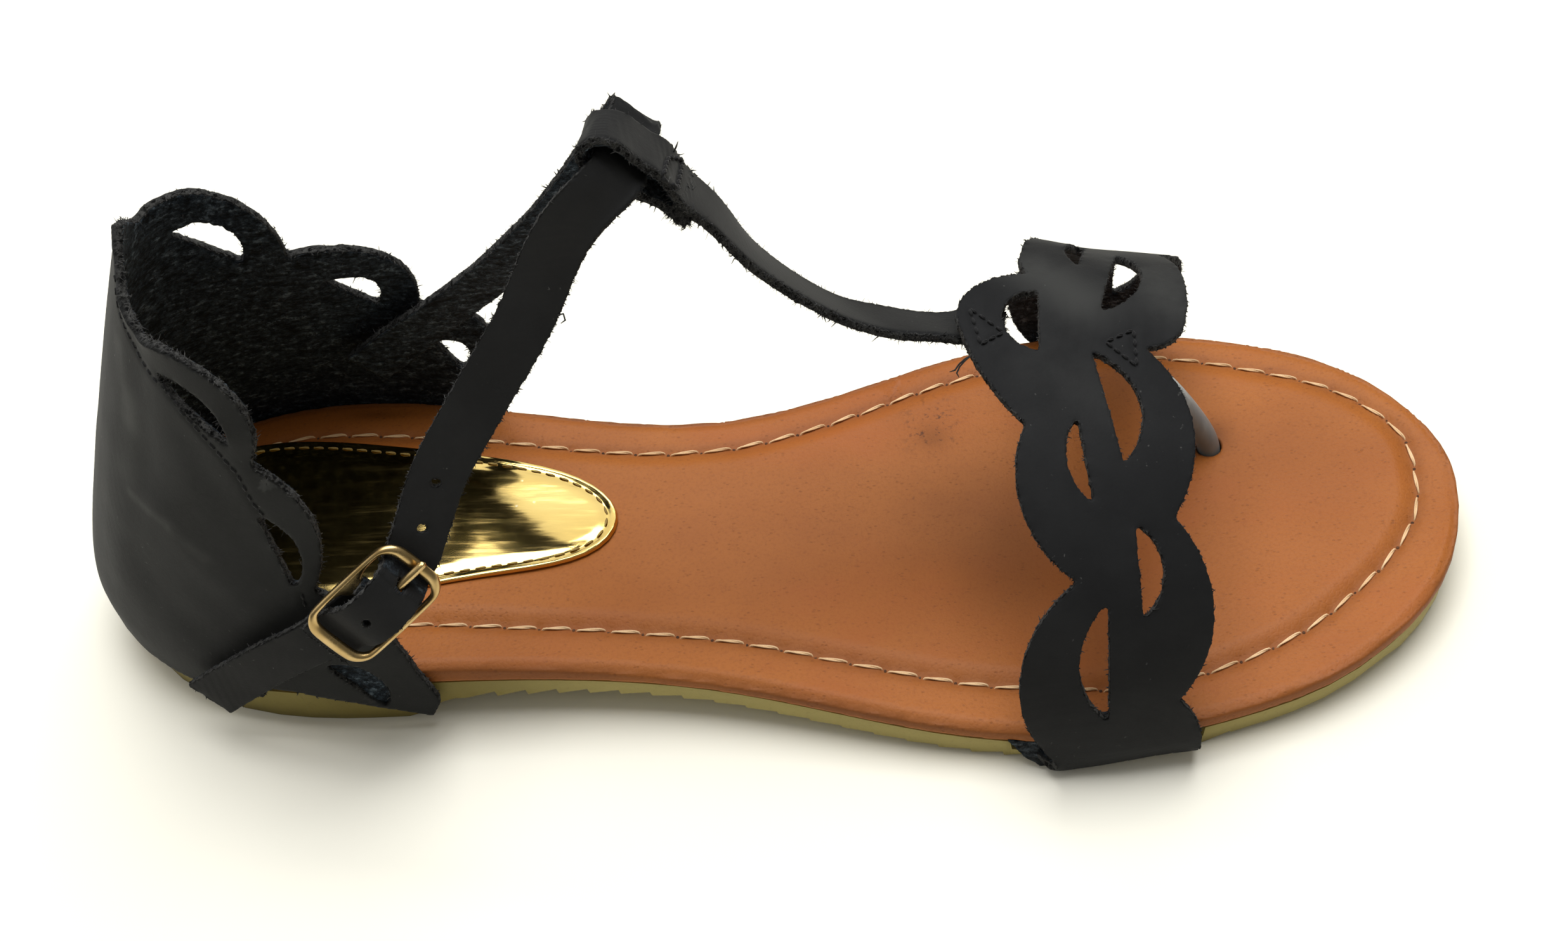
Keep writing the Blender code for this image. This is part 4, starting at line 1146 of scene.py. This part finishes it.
def footbed_grime_and_shade(tree, points, rim, inside):
    """Darkening by the seam, grime round the toe post, smudges that are partly painted shade beside the
    front strap, and painted shade along the rim.
    """
    foot, _ = seen(tree, POST_FOOT)
    grime_and_shade = SEAM_DARKENING * fade(np.abs(inside), SEAM_DARKENING_WIDTH) + spot_fade(points, foot, POST_GRIME_WIDTH)
    # Brown smudges, partly painted shade beside the front strap
    for pixel, width, strength in SMUDGES_AND_STRAP_SHADE:
        spot, _ = seen(tree, pixel)
        grime_and_shade += strength * spot_fade(points, spot, width)
    # Painted shade along the rim, less of it towards the toe
    edge = ease(inside_of_line(points, rim), *RIM_SHADE_RUN)
    return grime_and_shade + edge * (RIM_SHADE - RIM_SHADE_LOSS * ease(points[:, 0], *RIM_SHADE_LOSS_RUN))


def sew_footbed(piece, spots, cream_thread, hole_shade):
    """The stitches of the footbed, and a dark plug in each needle hole between them as painted shade of the
    hole.
    """
    tree = tree_of(piece)
    stitches = []
    holes = []
    slant = Matrix.Rotation(SEAM_SLANT, 3, "Z")
    for spot, along in spots:
        found, facing = under(tree, spot)
        stitches += stitch(found, slant @ along, facing, SEAM_STITCH, SEAM_THREAD, SEAM_POINTS)
        # A dark plug, painted shade of the needle hole
        found, facing = under(tree, spot + along * SEAM_PITCH / 2)
        holes.append(tube([found + facing * height for height in PLUG_HEIGHTS], PLUG_RADII, PLUG_SIDES))
    dress(joined("footbed_stitches", stitches), cream_thread, "footbed")
    dress(joined("footbed_hole_shade", holes), hole_shade, "footbed")


def make_footbed(cream_thread, hole_shade):
    """The footbed with its sewn valley, grime, painted shade, and a painted highlight on its rounded edge.
    """
    piece = even_copy("footbed", "footbed_leatherette", FOOTBED_SPACING, FOOTBED_ROUNDS)
    rim = rim_of("footbed")
    slope_edge(piece, rim)
    tree = tree_of(piece)
    line = seam_line(tree, rim)
    spots = list(spaced(line, SEAM_PITCH, closed=True))
    points = points_of(piece)
    upright = normals_of(piece)[:, 2]
    top = ease(upright, *TOP_FACING)
    inside = inside_of_line(points, line)
    points[:, 2] += top * (seam_sink(points, inside, spots) + waves(points, FOOTBED_WAVES))
    set_points(piece, points)
    # Faces that are not top, the side wall, get painted shade
    grime_and_shade = np.clip(footbed_grime_and_shade(tree, points, rim, inside) + WALL_SHADE * (1 - top), 0, 1)
    keep_values(piece, "grime_and_shade", grime_and_shade * ease(upright, *GRIME_AND_SHADE_FACING))
    stain, _ = seen(tree, STAIN)
    squeezed = (points - np.array(stain)) * STAIN_SQUEEZE
    keep_values(piece, "stain", fade(lengths(squeezed), STAIN_WIDTH))
    keep_values(piece, "rim_highlight", ease(upright, *RIM_HIGHLIGHT_FACING) * top)
    dress(piece, leatherette(), "footbed", "footbed")
    sew_footbed(piece, spots, cream_thread, hole_shade)


def make_pad(gold_thread):
    """The foil pad on the heel, with its sewn border."""
    piece = rounded_copy("heel_pad", "heel_pad_foil", levels=3, crease=0.7)
    tree = tree_of(piece)
    rim = rim_of("heel_pad")
    line = laid_on(tree, inset_line(rim, np.full(len(rim), PAD_SEAM_INSET)))
    points = points_of(piece)
    top = ease(normals_of(piece)[:, 2], *TOP_FACING)
    sink = dent(away_from_line(points, line + line[:1]), *PAD_SEAM_GROOVE)
    points[:, 2] += top * (sink + waves(points, PAD_WAVES))
    set_points(piece, points)
    dress(piece, foil(), "heel_pad", "heel_pad")
    tree = tree_of(piece)
    stitches = []
    for spot, along in spaced(line, PAD_SEAM_PITCH, closed=True):
        found, facing = under(tree, spot)
        stitches += stitch(found, along, facing, PAD_SEAM_STITCH, PAD_SEAM_THREAD, PAD_SEAM_POINTS)
    dress(joined("heel_pad_stitches", stitches), gold_thread, "heel_pad")


def make_outsole():
    """The rubber outsole with its edges slightly rounded."""
    piece = welded_copy("outsole", "outsole_rubber")
    use_modifier(piece, "BEVEL", width=OUTSOLE_BEVEL, segments=2, limit_method="ANGLE", angle_limit=SHARP)
    bpy.ops.object.shade_smooth_by_angle(angle=SHARP)
    dress(piece, rubber(), "outsole", "outsole")


def make_buckle():
    """The frame and the prong, plated alike."""
    for node in ("buckle_frame", "buckle_prong"):
        piece = rounded_copy(node, node + "_plated", levels=2, crease=0.0)
        dress(piece, plated(node + "_gold"), node, node)


def make_post():
    piece = rounded_copy("toe_post", "toe_post_tube", levels=2, crease=0.5)
    dress(piece, grey_tube(), "toe_post", "toe_post")


def make_floor():
    bpy.ops.mesh.primitive_plane_add(size=FLOOR_SIZE, location=(0, 0, -FLOOR_DROP))
    floor = bpy.context.object
    floor.name = "floor"
    floor.data.materials.append(floor_white())


def make_camera():
    right, above, forward = camera_lines()
    camera = placed("camera", bpy.data.cameras.new("camera"))
    turn = Matrix((right, above, -forward)).transposed()
    camera.matrix_world = Matrix.Translation(CAMERA_PLACE) @ turn.to_4x4()
    camera.data.sensor_width = SENSOR_WIDTH
    camera.data.lens = FOCAL_PIXELS / PHOTO_WIDTH * SENSOR_WIDTH
    camera.data.clip_start = CLIP_START
    bpy.context.scene.camera = camera


def make_lights():
    """Soft boxes over the shoe, in a room that is brighter overhead."""
    for name, place, width, length, power in SOFT_BOXES:
        light = bpy.data.lights.new(name, "AREA")
        light.shape = "RECTANGLE"
        light.size = width
        light.size_y = length
        light.energy = power
        box = placed(name, light)
        box.location = place
        box.rotation_euler = (LIT_PLACE - Vector(place)).to_track_quat("-Z", "Y").to_euler()
    world = bpy.data.worlds.new("studio")
    world.use_nodes = True
    room = world.node_tree.nodes["Background"]
    room.inputs["Color"].default_value = ROOM_COLOUR
    way = Value(world.node_tree.nodes.new("ShaderNodeTexCoord").outputs["Generated"])
    height = way.node("ShaderNodeSeparateXYZ", {}, {0: way}, output="Z")
    strength = ROOM_LEVEL + (ROOM_OVERHEAD - ROOM_LEVEL) * height.span(*ROOM_RISE)
    world.node_tree.links.new(strength.socket, room.inputs["Strength"])
    bpy.context.scene.world = world
    bpy.context.scene.view_settings.view_transform = "Standard"


cream = thread("cream_thread", (0.88, 0.62, 0.36, 1), (0.7, 0.45, 0.23, 1), 0.6)
hole_shade_finish = thread("needle_hole_shade", (0.11, 0.045, 0.018, 1), (0.05, 0.02, 0.009, 1), 0.8)
black = thread("black_thread", (0.008, 0.008, 0.009, 1), (0.003, 0.003, 0.0035, 1), 0.75)
fuzz = thread("leather_fuzz", (0.04, 0.04, 0.039, 1), (0.006, 0.006, 0.0065, 1), 0.8)
gold = thread("gold_thread", (0.52, 0.36, 0.1, 1), (0.3, 0.19, 0.05, 1), 0.4)
make_outsole()
make_footbed(cream, hole_shade_finish)
make_pad(gold)
make_uppers(black, fuzz)
make_buckle()
make_post()
make_floor()
make_lights()
make_camera()
